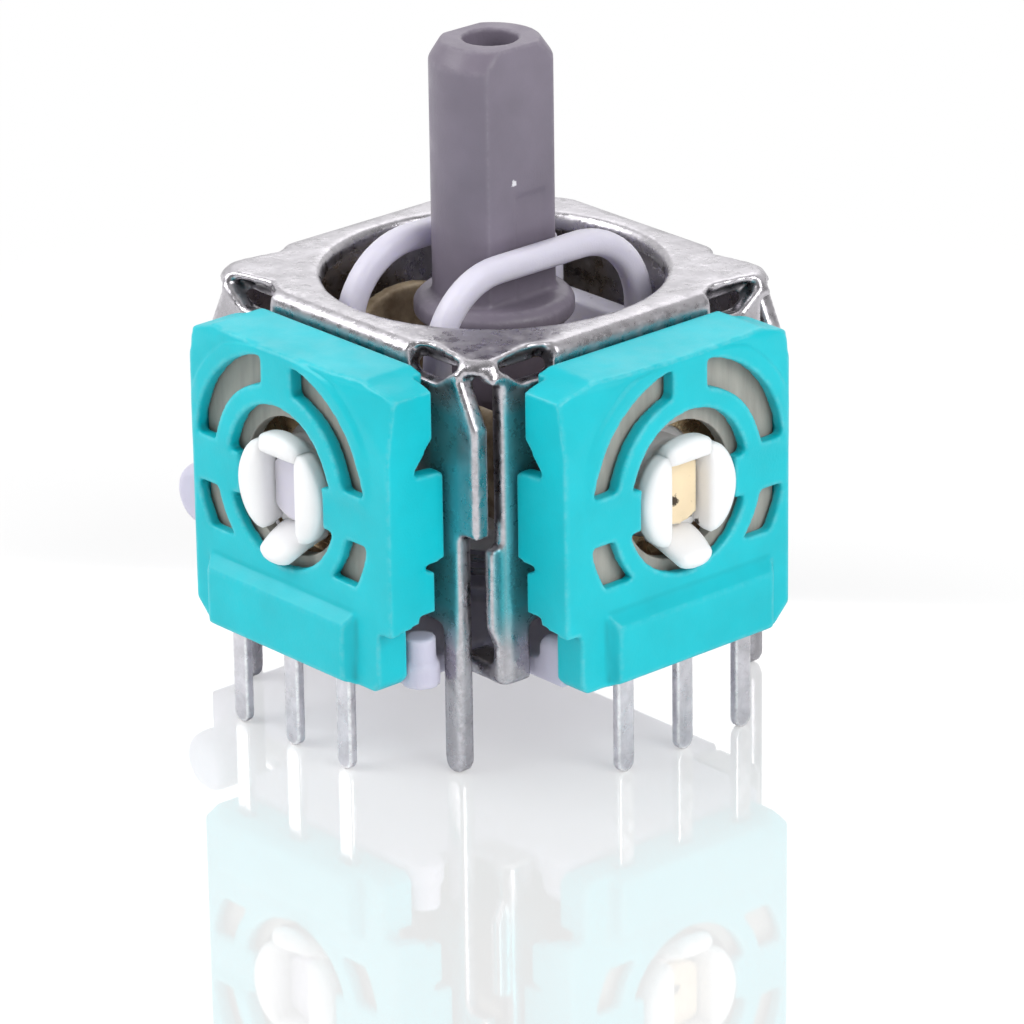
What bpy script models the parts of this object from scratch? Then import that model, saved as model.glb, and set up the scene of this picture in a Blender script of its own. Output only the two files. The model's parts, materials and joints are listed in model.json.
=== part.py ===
"""Two-axis analog stick of a game controller: a sprung lever in a folded metal
frame, two rotary pots with teal covers and a push switch under the lower yoke.

Metres, +Z up. The origin is the middle of the base's underside, which is the
face that rests on the circuit board. The front pot faces -Y, the side pot +X
and the switch stands on the -X side.
"""
import math

import bmesh
import bpy
from mathutils import Matrix, Vector

MM = 0.001

# Whole module
AXLE_HEIGHT = 5.6 * MM
LEG_DROP = 3.0 * MM
RUN_GAP = 0.05 * MM
SEAT_GAP = 0.03 * MM
FREE_GAP = 0.3 * MM

# Metal frame
SHEET = 0.6 * MM
FRAME_HALF = 6.5 * MM
FRAME_TOP = 5.13 * MM
FRAME_BEND = 0.45 * MM
FRAME_HOLE_R = 5.4 * MM
HOLE_LIP = 0.25 * MM
PLATE_CORNER_R = 1.5 * MM
WALL_CORNER_R = 0.3 * MM
CORNER_SLIT = 0.45 * MM
CORNER_OPENING_TOP = FRAME_TOP - 0.45 * MM
CORNER_OPENING_FOOT = FRAME_TOP - 2.1 * MM
CORNER_OPENING_X = FRAME_HALF - 0.95 * MM
NOTCH_NEAR = FRAME_HALF - 1.05 * MM
NOTCH_APEX = FRAME_HALF - 2.65 * MM
NOTCH_FAR = FRAME_HALF - 3.2 * MM
NOTCH_FOOT_NEAR = FRAME_HALF - 1.9 * MM
NOTCH_DEPTH = 0.62 * MM
NOTCH_SIDE_DEPTH = 0.3 * MM
NOTCH_DROP = 0.95 * MM
FRONT_WALL_HALF = FRAME_HALF - 0.15 * MM
FRONT_STEP_Z = -0.5 * MM
LEG_OUTER = FRAME_HALF - 1.0 * MM
LEG_WIDTH = 0.8 * MM
SIDE_STEP_Z = -1.0 * MM
WALL_FOOT_Z = 1.9 * MM - AXLE_HEIGHT
SIDE_SLANT_Z = WALL_FOOT_Z + 0.2 * MM
TAB_OUTER = FRAME_HALF - 0.95 * MM
TAB_WIDTH = 1.15 * MM
TAB_REACH = 1.5 * MM
TAB_CLEAR = 0.1 * MM
BOARD_CLEAR = 0.02 * MM
AXLE_HOLE_GAP = 0.3 * MM

# Lever
STICK_R = 1.95 * MM
STICK_FLAT = 1.37 * MM
STICK_TOP = 12.7 * MM
STICK_CHAMFER = 0.4 * MM
STICK_CHAMFER_DROP = 0.6 * MM
STICK_HOLE_R = 0.875 * MM
STICK_HOLE_DEPTH = 3.0 * MM
STICK_STEP_TOP = 7.9 * MM
STICK_STEP_WIDTH = 1.35 * MM
STICK_STEP_SHIFT = 0.375 * MM
STICK_STEP_DEPTH = 0.05 * MM
COLLAR_R = 2.55 * MM
COLLAR_TOP = 4.4 * MM
COLLAR_THICK = 0.9 * MM
COLLAR_ROUND = 0.25 * MM
NECK_R = 1.7 * MM
BARREL_R = 1.25 * MM
FOOT_R = 0.9 * MM
FOOT_DROP = 2.9 * MM

# Upper yoke
ARCH_INNER = 1.68 * MM
ARCH_WIDTH = 0.82 * MM
ARCH_TOP = 6.42 * MM
ARCH_THICK = 0.86 * MM
ARCH_FLAT_HALF = 1.7 * MM
ARCH_LEG = 4.65 * MM
ARCH_JOIN_Z = 3.0 * MM
ARCH_FOOT_R = 1.7 * MM
ARCH_ROUND = 0.3 * MM
ARCH_FOOT_INSET = 0.02 * MM
AXLE_R = 1.1 * MM
AXLE_FLAT = 0.72 * MM
AXLE_FLAT_START = FRAME_HALF + 0.2 * MM
AXLE_END = FRAME_HALF + 2.0 * MM
ARCH_REAR_END = FRAME_HALF + 0.4 * MM

# Lower yoke
CRADLE_R = 3.4 * MM
CRADLE_HALF = 4.7 * MM
CRADLE_END_WALL = 0.5 * MM
CRADLE_SLOT_HALF = 2.75 * MM
CRADLE_FOOT = 1.7 * MM
PIN_R = 0.6 * MM
PIN_HALF = 3.35 * MM
YOKE_DIMPLE_R = 0.3 * MM
YOKE_DIMPLE_DEPTH = 0.4 * MM
SWITCH_ARM_R = 1.05 * MM
SWITCH_ARM_END = FRAME_HALF + 3.1 * MM
PRESS_DROP = 0.35 * MM

# Pot covers, with depths measured outwards from the module's axis
POT_HALF = 5.12 * MM
POT_FAR_HALF = 4.32 * MM
POT_FACE = FRAME_HALF + 2.42 * MM
POT_WALL = 0.6 * MM
POT_FAR_WALL = 0.22 * MM
POT_TOP = 4.63 * MM
POT_SHOULDER_Z = 3.92 * MM
POT_SHOULDER = 1.4 * MM
POT_FAR_SHOULDER = 1.05 * MM
POT_BACK_TOP = FRAME_HALF + 0.15 * MM
POT_BACK_LOBE = FRAME_HALF + 0.6 * MM
POT_CLIP_BACK = FRAME_HALF + 0.18 * MM
POT_CLIP_HALF = 1.35 * MM
POT_NOTCH_HIGH = 2.4 * MM
POT_NOTCH_LOW = -1.67 * MM
POT_NOTCH_TIP = FRAME_HALF + 1.4 * MM
POT_SIDE_FOOT = -3.1 * MM
POT_SIDE_FOOT_FACE = -3.55 * MM
POT_LOW_INSET = 0.62 * MM
POT_LOW_BACK = FRAME_HALF + 1.25 * MM
POT_LOW_FOOT = 0.18 * MM - AXLE_HEIGHT
POT_LOW_CORNER = 0.25 * MM
POT_FAR_CORNER = 0.65 * MM
POT_CREASE = 4.9 * MM
POT_FAR_CREASE = 5.05 * MM
POT_CREASE_TURN = 40.0
POT_CREASE_SLOPE = 0.22
POT_BLOCK_TOP = -3.0 * MM
POT_BLOCK_RISE = 0.4 * MM
POT_BLOCK_HALF = 3.5 * MM
POT_BLOCK_DRAFT = 0.25 * MM
WINDOW_HOLE_R = 2.5 * MM
SPUR_REACH = 1.97 * MM
SPUR_HALF = 0.66 * MM
RING_OUTER_R = 3.15 * MM
WINDOW_OUTER_R = 4.08 * MM
SPOKE_HALF = 0.72 * MM
SPOKE_TOP = 0.82 * MM
WINDOW_FOOT = -2.15 * MM

# Film boards, rotors and wipers
BOARD_BACK = FRAME_HALF + 1.02 * MM
BOARD_THICK = 0.45 * MM
BOARD_GAP = 0.2 * MM
BOARD_FAR_GAP = 0.05 * MM
BOARD_TOP = 3.85 * MM
BOARD_CORNER = 1.0 * MM
BOARD_FOOT = -3.45 * MM
BOARD_HOLE_R = 2.0 * MM
ROTOR_BACK = FRAME_HALF + 0.35 * MM
ROTOR_FLANGE_THICK = 0.3 * MM
ROTOR_FLANGE_R = 3.2 * MM
ROTOR_NECK_R = 1.6 * MM
ROTOR_LIP_R = 1.9 * MM
ROTOR_LIP_START = FRAME_HALF + 1.75 * MM
ROTOR_END = FRAME_HALF + 2.75 * MM
ROTOR_LIP_ROUND = 0.35 * MM
ROTOR_SLOT_HALF = 0.78 * MM
ROTOR_SLOT_TALL = 1.16 * MM
ROTOR_SLIT = 0.24 * MM
LEAF_REACH = 2.25 * MM
LEAF_HALF = 0.86 * MM
LEAF_THICK = 0.5 * MM
LEAF_END = FRAME_HALF + 2.95 * MM
WIPER_THICK = 0.12 * MM
WIPER_INNER_R = 1.8 * MM
WIPER_OUTER_R = 2.9 * MM
WIPER_ARM_HALF = 0.3 * MM

# Pot terminals
TERMINAL_PITCH = 2.5 * MM
TERMINAL_WIDTH = 0.65 * MM
TERMINAL_THICK = 0.3 * MM
TERMINAL_FACE = POT_FACE - 0.2 * MM
TERMINAL_TOP = 1.4 * MM

# Base
BASE_HALF = FRAME_HALF - SHEET - 0.3 * MM
BASE_THICK = 0.7 * MM
LEDGE_HALF = BASE_HALF - 1.4 * MM
LEDGE_END = POT_LOW_BACK - 0.07 * MM
POST_R = 0.62 * MM
POST_T = LEDGE_HALF + 0.15 * MM
POST_D = POT_LOW_BACK - POST_R - SEAT_GAP
POST_STUB_R = 0.5 * MM
POST_TOP = 1.6 * MM
SQUARE_POST = 1.1 * MM
SQUARE_POST_TOP = 1.5 * MM
SPRING_RIM_R = 2.75 * MM
SPRING_RIM_WALL = 0.35 * MM
SPRING_RIM_HEIGHT = 0.35 * MM

# Return spring
SEAT_R = 2.6 * MM
SEAT_THICK = 0.45 * MM
SEAT_FOOT_GAP = 0.1 * MM
SEAT_RIM = 0.3 * MM
SPRING_R = 2.15 * MM
SPRING_WIRE_R = 0.13 * MM
SPRING_TURNS = 2.5

# Push switch
SWITCH_X = -FRAME_HALF - 2.1 * MM
SWITCH_WIDTH = 3.1 * MM
SWITCH_LENGTH = 6.0 * MM
SWITCH_FLOOR = 0.6 * MM
SWITCH_HEIGHT = 2.45 * MM
SWITCH_RIM = 0.3 * MM
SWITCH_RIM_LENGTH = 0.45 * MM
SWITCH_RIM_TOP = 2.2 * MM
CRADLE_NUB_R = 1.05 * MM
CRADLE_NUB_X = SWITCH_X - 0.5 * MM
CRADLE_NUB_Z = 1.75 * MM
CRADLE_NUB_END = 5.05 * MM
CRADLE_NUB_ROUND = 0.3 * MM
SWITCH_POCKET_R = 1.3 * MM
SWITCH_POCKET_DEPTH = 1.3 * MM
PLUNGER_R = 0.85 * MM
PLUNGER_FLANGE_R = 1.1 * MM
PLUNGER_FLANGE = 0.3 * MM
PLUNGER_ROUND = 0.1 * MM
COVER_THICK = 0.15 * MM
COVER_TAB_HALF = 0.8 * MM
COVER_TAB_DROP = 1.1 * MM
DOME_R = 1.2 * MM
DOME_RISE = 0.3 * MM
DOME_THICK = 0.08 * MM
SWITCH_LEAD_X = 1.15 * MM
SWITCH_LEAD_Y = 2.25 * MM
SWITCH_LEAD_WIDTH = 0.6 * MM
SWITCH_LEAD_THICK = 0.25 * MM
SWITCH_LEAD_TOP = 1.3 * MM

# Facets
ROUND_SIDES = 40
SMALL_SIDES = 20


def clear_scene():
    """Remove everything that a new file holds."""
    for thing in list(bpy.data.objects):
        bpy.data.objects.remove(thing)


def new_collection(name):
    """A collection linked to the scene."""
    collection = bpy.data.collections.new(name)
    bpy.context.scene.collection.children.link(collection)
    return collection


clear_scene()
PARTS = new_collection("analog_stick")
CUTTERS = new_collection("cutters")


def material(name, colour, roughness, metallic=0.0, alpha=1.0):
    """One Principled material."""
    mat = bpy.data.materials.new(name)
    mat.use_nodes = True
    shader = mat.node_tree.nodes["Principled BSDF"]
    shader.inputs["Base Color"].default_value = (*colour, 1.0)
    shader.inputs["Roughness"].default_value = roughness
    shader.inputs["Metallic"].default_value = metallic
    shader.inputs["Alpha"].default_value = alpha
    return mat


PLATED = material("plated_sheet", (0.62, 0.61, 0.66), 0.3, 1.0)
MAUVE = material("mauve_grey_plastic", (0.2, 0.17, 0.2), 0.45)
LILAC = material("lilac_nylon", (0.66, 0.64, 0.78), 0.4, 0.0, 0.9)
CREAM = material("cream_nylon", (0.75, 0.58, 0.36), 0.45)
TEAL = material("teal_plastic", (0.03, 0.6, 0.7), 0.35)
WHITE = material("white_acetal", (0.85, 0.85, 0.86), 0.4)
BOARD = material("grey_beige_board", (0.35, 0.33, 0.31), 0.6)
COPPER = material("contact_alloy", (0.72, 0.5, 0.3), 0.3, 1.0)
TINNED = material("tinned_blade", (0.6, 0.6, 0.62), 0.25, 1.0)
BASE_GREY = material("lilac_grey_plastic", (0.6, 0.58, 0.7), 0.5)
SPRING_STEEL = material("spring_steel", (0.5, 0.5, 0.52), 0.25, 1.0)
BLACK = material("black_plastic", (0.02, 0.02, 0.022), 0.5)


def link_mesh(name, bm, collection, mat=None, smooth=35.0):
    """Make an object from a bmesh, with outward faces."""
    bmesh.ops.recalc_face_normals(bm, faces=bm.faces)
    mesh = bpy.data.meshes.new(name)
    bm.to_mesh(mesh)
    bm.free()
    mesh.shade_smooth()
    mesh.set_sharp_from_angle(angle=math.radians(smooth))
    thing = bpy.data.objects.new(name, mesh)
    collection.objects.link(thing)
    if mat is not None:
        mesh.materials.append(mat)
    if collection is CUTTERS:
        thing.hide_render = True
        thing.display_type = "WIRE"
    return thing


def box_mesh(low, high, bevel=0.0, segments=2):
    """A block between two corners, its edges rounded when bevel is given."""
    bm = bmesh.new()
    size = [b - a for a, b in zip(low, high)]
    middle = [(a + b) / 2 for a, b in zip(low, high)]
    place = Matrix.Translation(middle) @ Matrix.Diagonal((*size, 1.0))
    bmesh.ops.create_cube(bm, size=1.0, matrix=place)
    if bevel > 0.0:
        bmesh.ops.bevel(bm, geom=bm.edges[:], offset=bevel, segments=segments,
                        profile=0.5, affect="EDGES")
    return bm


def rod_mesh(axis, radius, start, end, centre=(0.0, 0.0), sides=ROUND_SIDES, end_radius=None):
    """A cylinder or cone along X, Y or Z; centre gives its two other coordinates."""
    bm = bmesh.new()
    end_radius = radius if end_radius is None else end_radius
    bmesh.ops.create_cone(bm, cap_ends=True, segments=sides, radius1=radius, radius2=end_radius,
                          depth=end - start)
    middle = (start + end) / 2
    a, b = centre
    if axis == "Z":
        turn = Matrix.Identity(4)
        place = Vector((a, b, middle))
    elif axis == "Y":
        turn = Matrix.Rotation(-math.pi / 2, 4, "X")
        place = Vector((a, middle, b))
    else:
        turn = Matrix.Rotation(math.pi / 2, 4, "Y")
        place = Vector((middle, a, b))
    bmesh.ops.transform(bm, matrix=Matrix.Translation(place) @ turn, verts=bm.verts)
    return bm


def outline_mesh(points, plane, start, end, bevel=0.0, segments=2):
    """Extrude a flat outline. Plane XY runs along Z, XZ along Y and YZ along X."""
    bm = bmesh.new()
    verts = []
    for a, b in points:
        if plane == "XY":
            verts.append(bm.verts.new((a, b, start)))
        elif plane == "XZ":
            verts.append(bm.verts.new((a, start, b)))
        else:
            verts.append(bm.verts.new((start, a, b)))
    face = bm.faces.new(verts)
    along = {"XY": Vector((0, 0, 1)), "XZ": Vector((0, 1, 0)), "YZ": Vector((1, 0, 0))}[plane]
    made = bmesh.ops.extrude_face_region(bm, geom=[face])
    moved = [item for item in made["geom"] if isinstance(item, bmesh.types.BMVert)]
    bmesh.ops.translate(bm, verts=moved, vec=along * (end - start))
    bmesh.ops.recalc_face_normals(bm, faces=bm.faces)
    if bevel > 0.0:
        rims = [edge for edge in bm.edges
                if abs((edge.verts[1].co - edge.verts[0].co).dot(along)) < 1e-9]
        bmesh.ops.bevel(bm, geom=rims, offset=bevel, segments=segments, profile=0.5, affect="EDGES")
    return bm


def loft_mesh(rings):
    """Skin a closed body over (outline, height) rings that all have as many points."""
    bm = bmesh.new()
    loops = [[bm.verts.new((a, b, height)) for a, b in outline] for outline, height in rings]
    count = len(loops[0])
    bm.faces.new(loops[0])
    bm.faces.new(loops[-1])
    for low, high in zip(loops, loops[1:]):
        for i in range(count):
            k = (i + 1) % count
            bm.faces.new((low[i], low[k], high[k], high[i]))
    return bm


def turned_mesh(profile, axis, sides=ROUND_SIDES):
    """Turn a closed (radius, place) profile about the X, Y or Z axis through the origin."""
    bm = bmesh.new()
    verts = [bm.verts.new((radius, 0.0, place)) for radius, place in profile]
    edges = [bm.edges.new((verts[i], verts[(i + 1) % len(verts)])) for i in range(len(verts))]
    bmesh.ops.spin(bm, geom=verts + edges, cent=(0, 0, 0), axis=(0, 0, 1), angle=2 * math.pi,
                   steps=sides, use_merge=True, use_duplicate=False)
    bmesh.ops.remove_doubles(bm, verts=bm.verts, dist=1e-7)
    if axis == "Y":
        bmesh.ops.rotate(bm, verts=bm.verts, cent=(0, 0, 0), matrix=Matrix.Rotation(-math.pi / 2, 3, "X"))
    if axis == "X":
        bmesh.ops.rotate(bm, verts=bm.verts, cent=(0, 0, 0), matrix=Matrix.Rotation(math.pi / 2, 3, "Y"))
    bmesh.ops.recalc_face_normals(bm, faces=bm.faces)
    return bm


def arc(centre, radius, start, end, steps):
    """Points on an arc, angles in degrees."""
    points = []
    for i in range(steps + 1):
        angle = math.radians(start + (end - start) * i / steps)
        points.append((centre[0] + radius * math.cos(angle), centre[1] + radius * math.sin(angle)))
    return points


def rounded(points, radius, steps=3):
    """Round the corners of an outline with arcs, no larger than the sides allow."""
    result = []
    count = len(points)
    for i, corner in enumerate(points):
        here = Vector(corner)
        before = Vector(points[i - 1]) - here
        after = Vector(points[(i + 1) % count]) - here
        reach = min(radius, before.length * 0.45, after.length * 0.45)
        a = here + before.normalized() * reach
        b = here + after.normalized() * reach
        for k in range(steps + 1):
            t = k / steps
            spot = a.lerp(here, t).lerp(here.lerp(b, t), t)
            result.append((spot.x, spot.y))
    return result


def lift(bm, height=AXLE_HEIGHT):
    """Raise a shape that was drawn about the axles."""
    bmesh.ops.translate(bm, verts=bm.verts, vec=(0, 0, height))
    return bm


class Solid:
    """A node in the making: its first shape and the Booleans that finish it."""

    def __init__(self, name, bm, mat):
        self.thing = link_mesh(name, bm, PARTS, mat)
        self.count = 0

    def boolean(self, bm, operation):
        self.count += 1
        cutter = link_mesh(f"{self.thing.name}_cutter_{self.count}", bm, CUTTERS)
        step = self.thing.modifiers.new(f"step_{self.count}", "BOOLEAN")
        step.object = cutter
        step.operation = operation
        step.solver = "EXACT"
        return self

    def cut(self, bm):
        return self.boolean(bm, "DIFFERENCE")

    def add(self, bm):
        return self.boolean(bm, "UNION")

    def place(self, matrix, origin):
        """Apply the steps, turn the solid to its place and put its origin on its axis."""
        self.apply()
        mesh = self.thing.data
        mesh.transform(Matrix.Translation(-Vector(origin)) @ matrix)
        self.thing.location = origin
        return self

    def apply(self):
        """Bake the Boolean steps, so that the solid can be turned as one."""
        graph = bpy.context.evaluated_depsgraph_get()
        mesh = bpy.data.meshes.new_from_object(self.thing.evaluated_get(graph))
        self.thing.modifiers.clear()
        self.thing.data = mesh
        mesh.shade_smooth()
        mesh.set_sharp_from_angle(angle=math.radians(35.0))
        return self


def span(sign, near, far):
    """The low and high ends of a stretch on one side of the middle."""
    return tuple(sorted((sign * near, sign * far)))


def quarter(turn):
    """A turn about Z by so many right angles."""
    return Matrix.Rotation(turn * math.pi / 2, 4, "Z")


def turned(bm, matrix):
    bmesh.ops.transform(bm, matrix=matrix, verts=bm.verts)
    return bm


AXLE = Vector((0.0, 0.0, AXLE_HEIGHT))
POT_TURNS = {"front": Matrix.Identity(4), "side": Matrix.Rotation(math.pi / 2, 4, "Z")}
# The wide half of each cover is the one next to the corner between the pots.
POT_NEAR = {"front": 1, "side": -1}


def square_ring(half, radius):
    """A square outline with round corners."""
    return rounded([(-half, -half), (half, -half), (half, half), (-half, half)], radius, 4)


def build_frame():
    """Folded sheet cover: a shell with its corners slit and its walls trimmed."""
    foot = -AXLE_HEIGHT - LEG_DROP
    far = 2 * FRAME_HALF
    rings = [(square_ring(FRAME_HALF, WALL_CORNER_R), foot),
             (square_ring(FRAME_HALF, WALL_CORNER_R), CORNER_OPENING_TOP - 0.2 * SHEET)]
    for across, along in arc((0.0, 0.0), FRAME_BEND, 0, 90, 4):
        inset = FRAME_BEND - across
        rings.append((square_ring(FRAME_HALF - inset, PLATE_CORNER_R - inset),
                      FRAME_TOP - FRAME_BEND + along))
    frame = Solid("metal_frame", lift(loft_mesh(rings)), PLATED)
    inner = FRAME_HALF - SHEET
    frame.cut(lift(box_mesh((-inner, -inner, foot - SHEET), (inner, inner, FRAME_TOP - SHEET))))
    lip = FRAME_TOP - HOLE_LIP
    hole = turned_mesh([(0.0, FRAME_TOP - 2 * SHEET), (FRAME_HOLE_R, FRAME_TOP - 2 * SHEET),
                        (FRAME_HOLE_R, lip),
                        (FRAME_HOLE_R + 0.3 * HOLE_LIP, lip + 0.7 * HOLE_LIP),
                        (FRAME_HOLE_R + 1.3 * HOLE_LIP, FRAME_TOP + 0.3 * HOLE_LIP),
                        (0.0, FRAME_TOP + 0.3 * HOLE_LIP)], "Z", 2 * ROUND_SIDES)
    frame.cut(lift(hole))

    def trim_corner(sx, sy):
        x_slit = span(sx, inner - 0.1 * SHEET, far)
        y_slit = span(sy, inner - CORNER_SLIT, inner)
        frame.cut(lift(box_mesh((x_slit[0], y_slit[0], SIDE_STEP_Z),
                                (x_slit[1], y_slit[1], CORNER_OPENING_TOP - 0.5 * SHEET))))
        x_end = span(sx, FRONT_WALL_HALF, far)
        y_end = span(sy, inner - SHEET, far)
        frame.cut(lift(box_mesh((x_end[0], y_end[0], foot - SHEET),
                                (x_end[1], y_end[1], CORNER_OPENING_FOOT + 0.1 * SHEET))))
        x_step = span(sx, LEG_OUTER, far)
        y_step = span(sy, inner, far)
        step = outline_mesh(rounded([(x_step[0], foot - SHEET), (x_step[1], foot - SHEET),
                                     (x_step[1], FRONT_STEP_Z), (x_step[0], FRONT_STEP_Z)], 0.5 * SHEET),
                            "XZ", y_step[0], y_step[1] + 0.1 * SHEET)
        frame.cut(lift(step))
        opening = [(sx * CORNER_OPENING_X, CORNER_OPENING_TOP), (sx * far, CORNER_OPENING_TOP),
                   (sx * far, CORNER_OPENING_FOOT), (sx * FRONT_WALL_HALF, CORNER_OPENING_FOOT)]
        frame.cut(lift(outline_mesh(rounded(opening, 0.3 * SHEET), "XZ",
                                    *span(sy, inner - 0.05 * SHEET, far))))

    for sx in (-1, 1):
        for sy in (-1, 1):
            trim_corner(sx, sy)
    for sign in (-1, 1):
        # Legs stay at both ends of the front and rear walls.
        y_wall = span(sign, inner - 0.1 * SHEET, far)
        leg_inner = LEG_OUTER - LEG_WIDTH
        gap = rounded([(-leg_inner, foot - SHEET), (leg_inner, foot - SHEET), (leg_inner, WALL_FOOT_Z),
                       (-leg_inner, WALL_FOOT_Z)], 0.4 * SHEET)
        frame.cut(lift(outline_mesh(gap, "XZ", *y_wall)))
        # The side walls end in a slanted edge and two tabs.
        x_wall = span(sign, inner - 0.1 * SHEET, far)
        tab_foot = BOARD_CLEAR - AXLE_HEIGHT
        tab_inner = TAB_OUTER - TAB_WIDTH
        low = [(-far, foot - SHEET), (far, foot - SHEET), (far, SIDE_SLANT_Z), (inner, SIDE_SLANT_Z),
               (TAB_OUTER, WALL_FOOT_Z - SHEET), (TAB_OUTER, tab_foot), (tab_inner, tab_foot),
               (tab_inner, WALL_FOOT_Z), (-tab_inner, WALL_FOOT_Z), (-tab_inner, tab_foot),
               (-TAB_OUTER, tab_foot), (-TAB_OUTER, WALL_FOOT_Z - SHEET), (-inner, SIDE_SLANT_Z),
               (-far, SIDE_SLANT_Z)]
        frame.cut(lift(outline_mesh(low, "YZ", *x_wall)))
        for end in (-1, 1):
            y_tab = span(end, tab_inner + BOARD_CLEAR, TAB_OUTER - BOARD_CLEAR)
            x_tab = span(sign, inner - TAB_REACH, FRAME_HALF - 0.2 * SHEET)
            frame.add(box_mesh((x_tab[0], y_tab[0], 2 * BOARD_CLEAR), (x_tab[1], y_tab[1], SHEET),
                               0.12 * SHEET, 2))
    # Notches that free the bend of each wall: pointed in the plate, slanted in the wall.
    over = FRAME_HALF + SHEET
    for turn in range(4):
        for sign in (-1, 1):
            far_side = NOTCH_FAR - 0.1 * SHEET
            plate = [(far_side, over), (far_side, FRAME_HALF - NOTCH_SIDE_DEPTH),
                     (NOTCH_APEX, FRAME_HALF - NOTCH_DEPTH), (NOTCH_NEAR, FRAME_HALF - NOTCH_SIDE_DEPTH),
                     (NOTCH_NEAR, over)]
            shape = outline_mesh([(sign * a, b) for a, b in plate], "XY", FRAME_TOP - 0.7 * SHEET,
                                 FRAME_TOP + SHEET)
            frame.cut(lift(turned(shape, quarter(turn))))
            near_side = NOTCH_NEAR - 0.1 * SHEET
            wall = [(NOTCH_FAR, FRAME_TOP - NOTCH_DROP), (NOTCH_FOOT_NEAR, FRAME_TOP - NOTCH_DROP),
                    (near_side, FRAME_TOP - 0.6 * SHEET), (near_side, FRAME_TOP - 0.4 * SHEET),
                    (NOTCH_FAR, FRAME_TOP - 0.4 * SHEET)]
            shape = outline_mesh([(sign * a, b) for a, b in wall], "XZ", inner - 0.2 * SHEET, over)
            frame.cut(lift(turned(shape, quarter(turn))))
    # Axle holes, and the slot for the arm that works the switch.
    hole_r = AXLE_R + AXLE_HOLE_GAP
    frame.cut(lift(rod_mesh("Y", hole_r, -far, far, sides=SMALL_SIDES * 2)))
    frame.cut(lift(rod_mesh("X", hole_r, 0.0, far, sides=SMALL_SIDES * 2)))
    slot_half = SWITCH_ARM_R + FREE_GAP
    slot = arc((0.0, 0.0), slot_half, 0, 180, 10) + arc((0.0, -PRESS_DROP), slot_half, 180, 360, 10)
    frame.cut(lift(outline_mesh(slot, "YZ", -far, 0.0)))
    # Round ends on the legs.
    for sx in (-1, 1):
        for sy in (-1, 1):
            x0, x1 = span(sx, LEG_OUTER - LEG_WIDTH, LEG_OUTER)
            y0, y1 = span(sy, inner - 0.1 * SHEET, FRAME_HALF + 0.1 * SHEET)
            middle = (x0 + x1) / 2
            tip = foot + LEG_WIDTH / 2
            scrap = [(x0 - 0.1 * SHEET, tip)] + arc((middle, tip), LEG_WIDTH / 2, 180, 360, 8)
            scrap += [(x1 + 0.1 * SHEET, tip), (x1 + 0.1 * SHEET, foot - 0.1 * SHEET),
                      (x0 - 0.1 * SHEET, foot - 0.1 * SHEET)]
            frame.cut(lift(outline_mesh(scrap, "XZ", y0, y1)))
    frame.apply()


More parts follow.
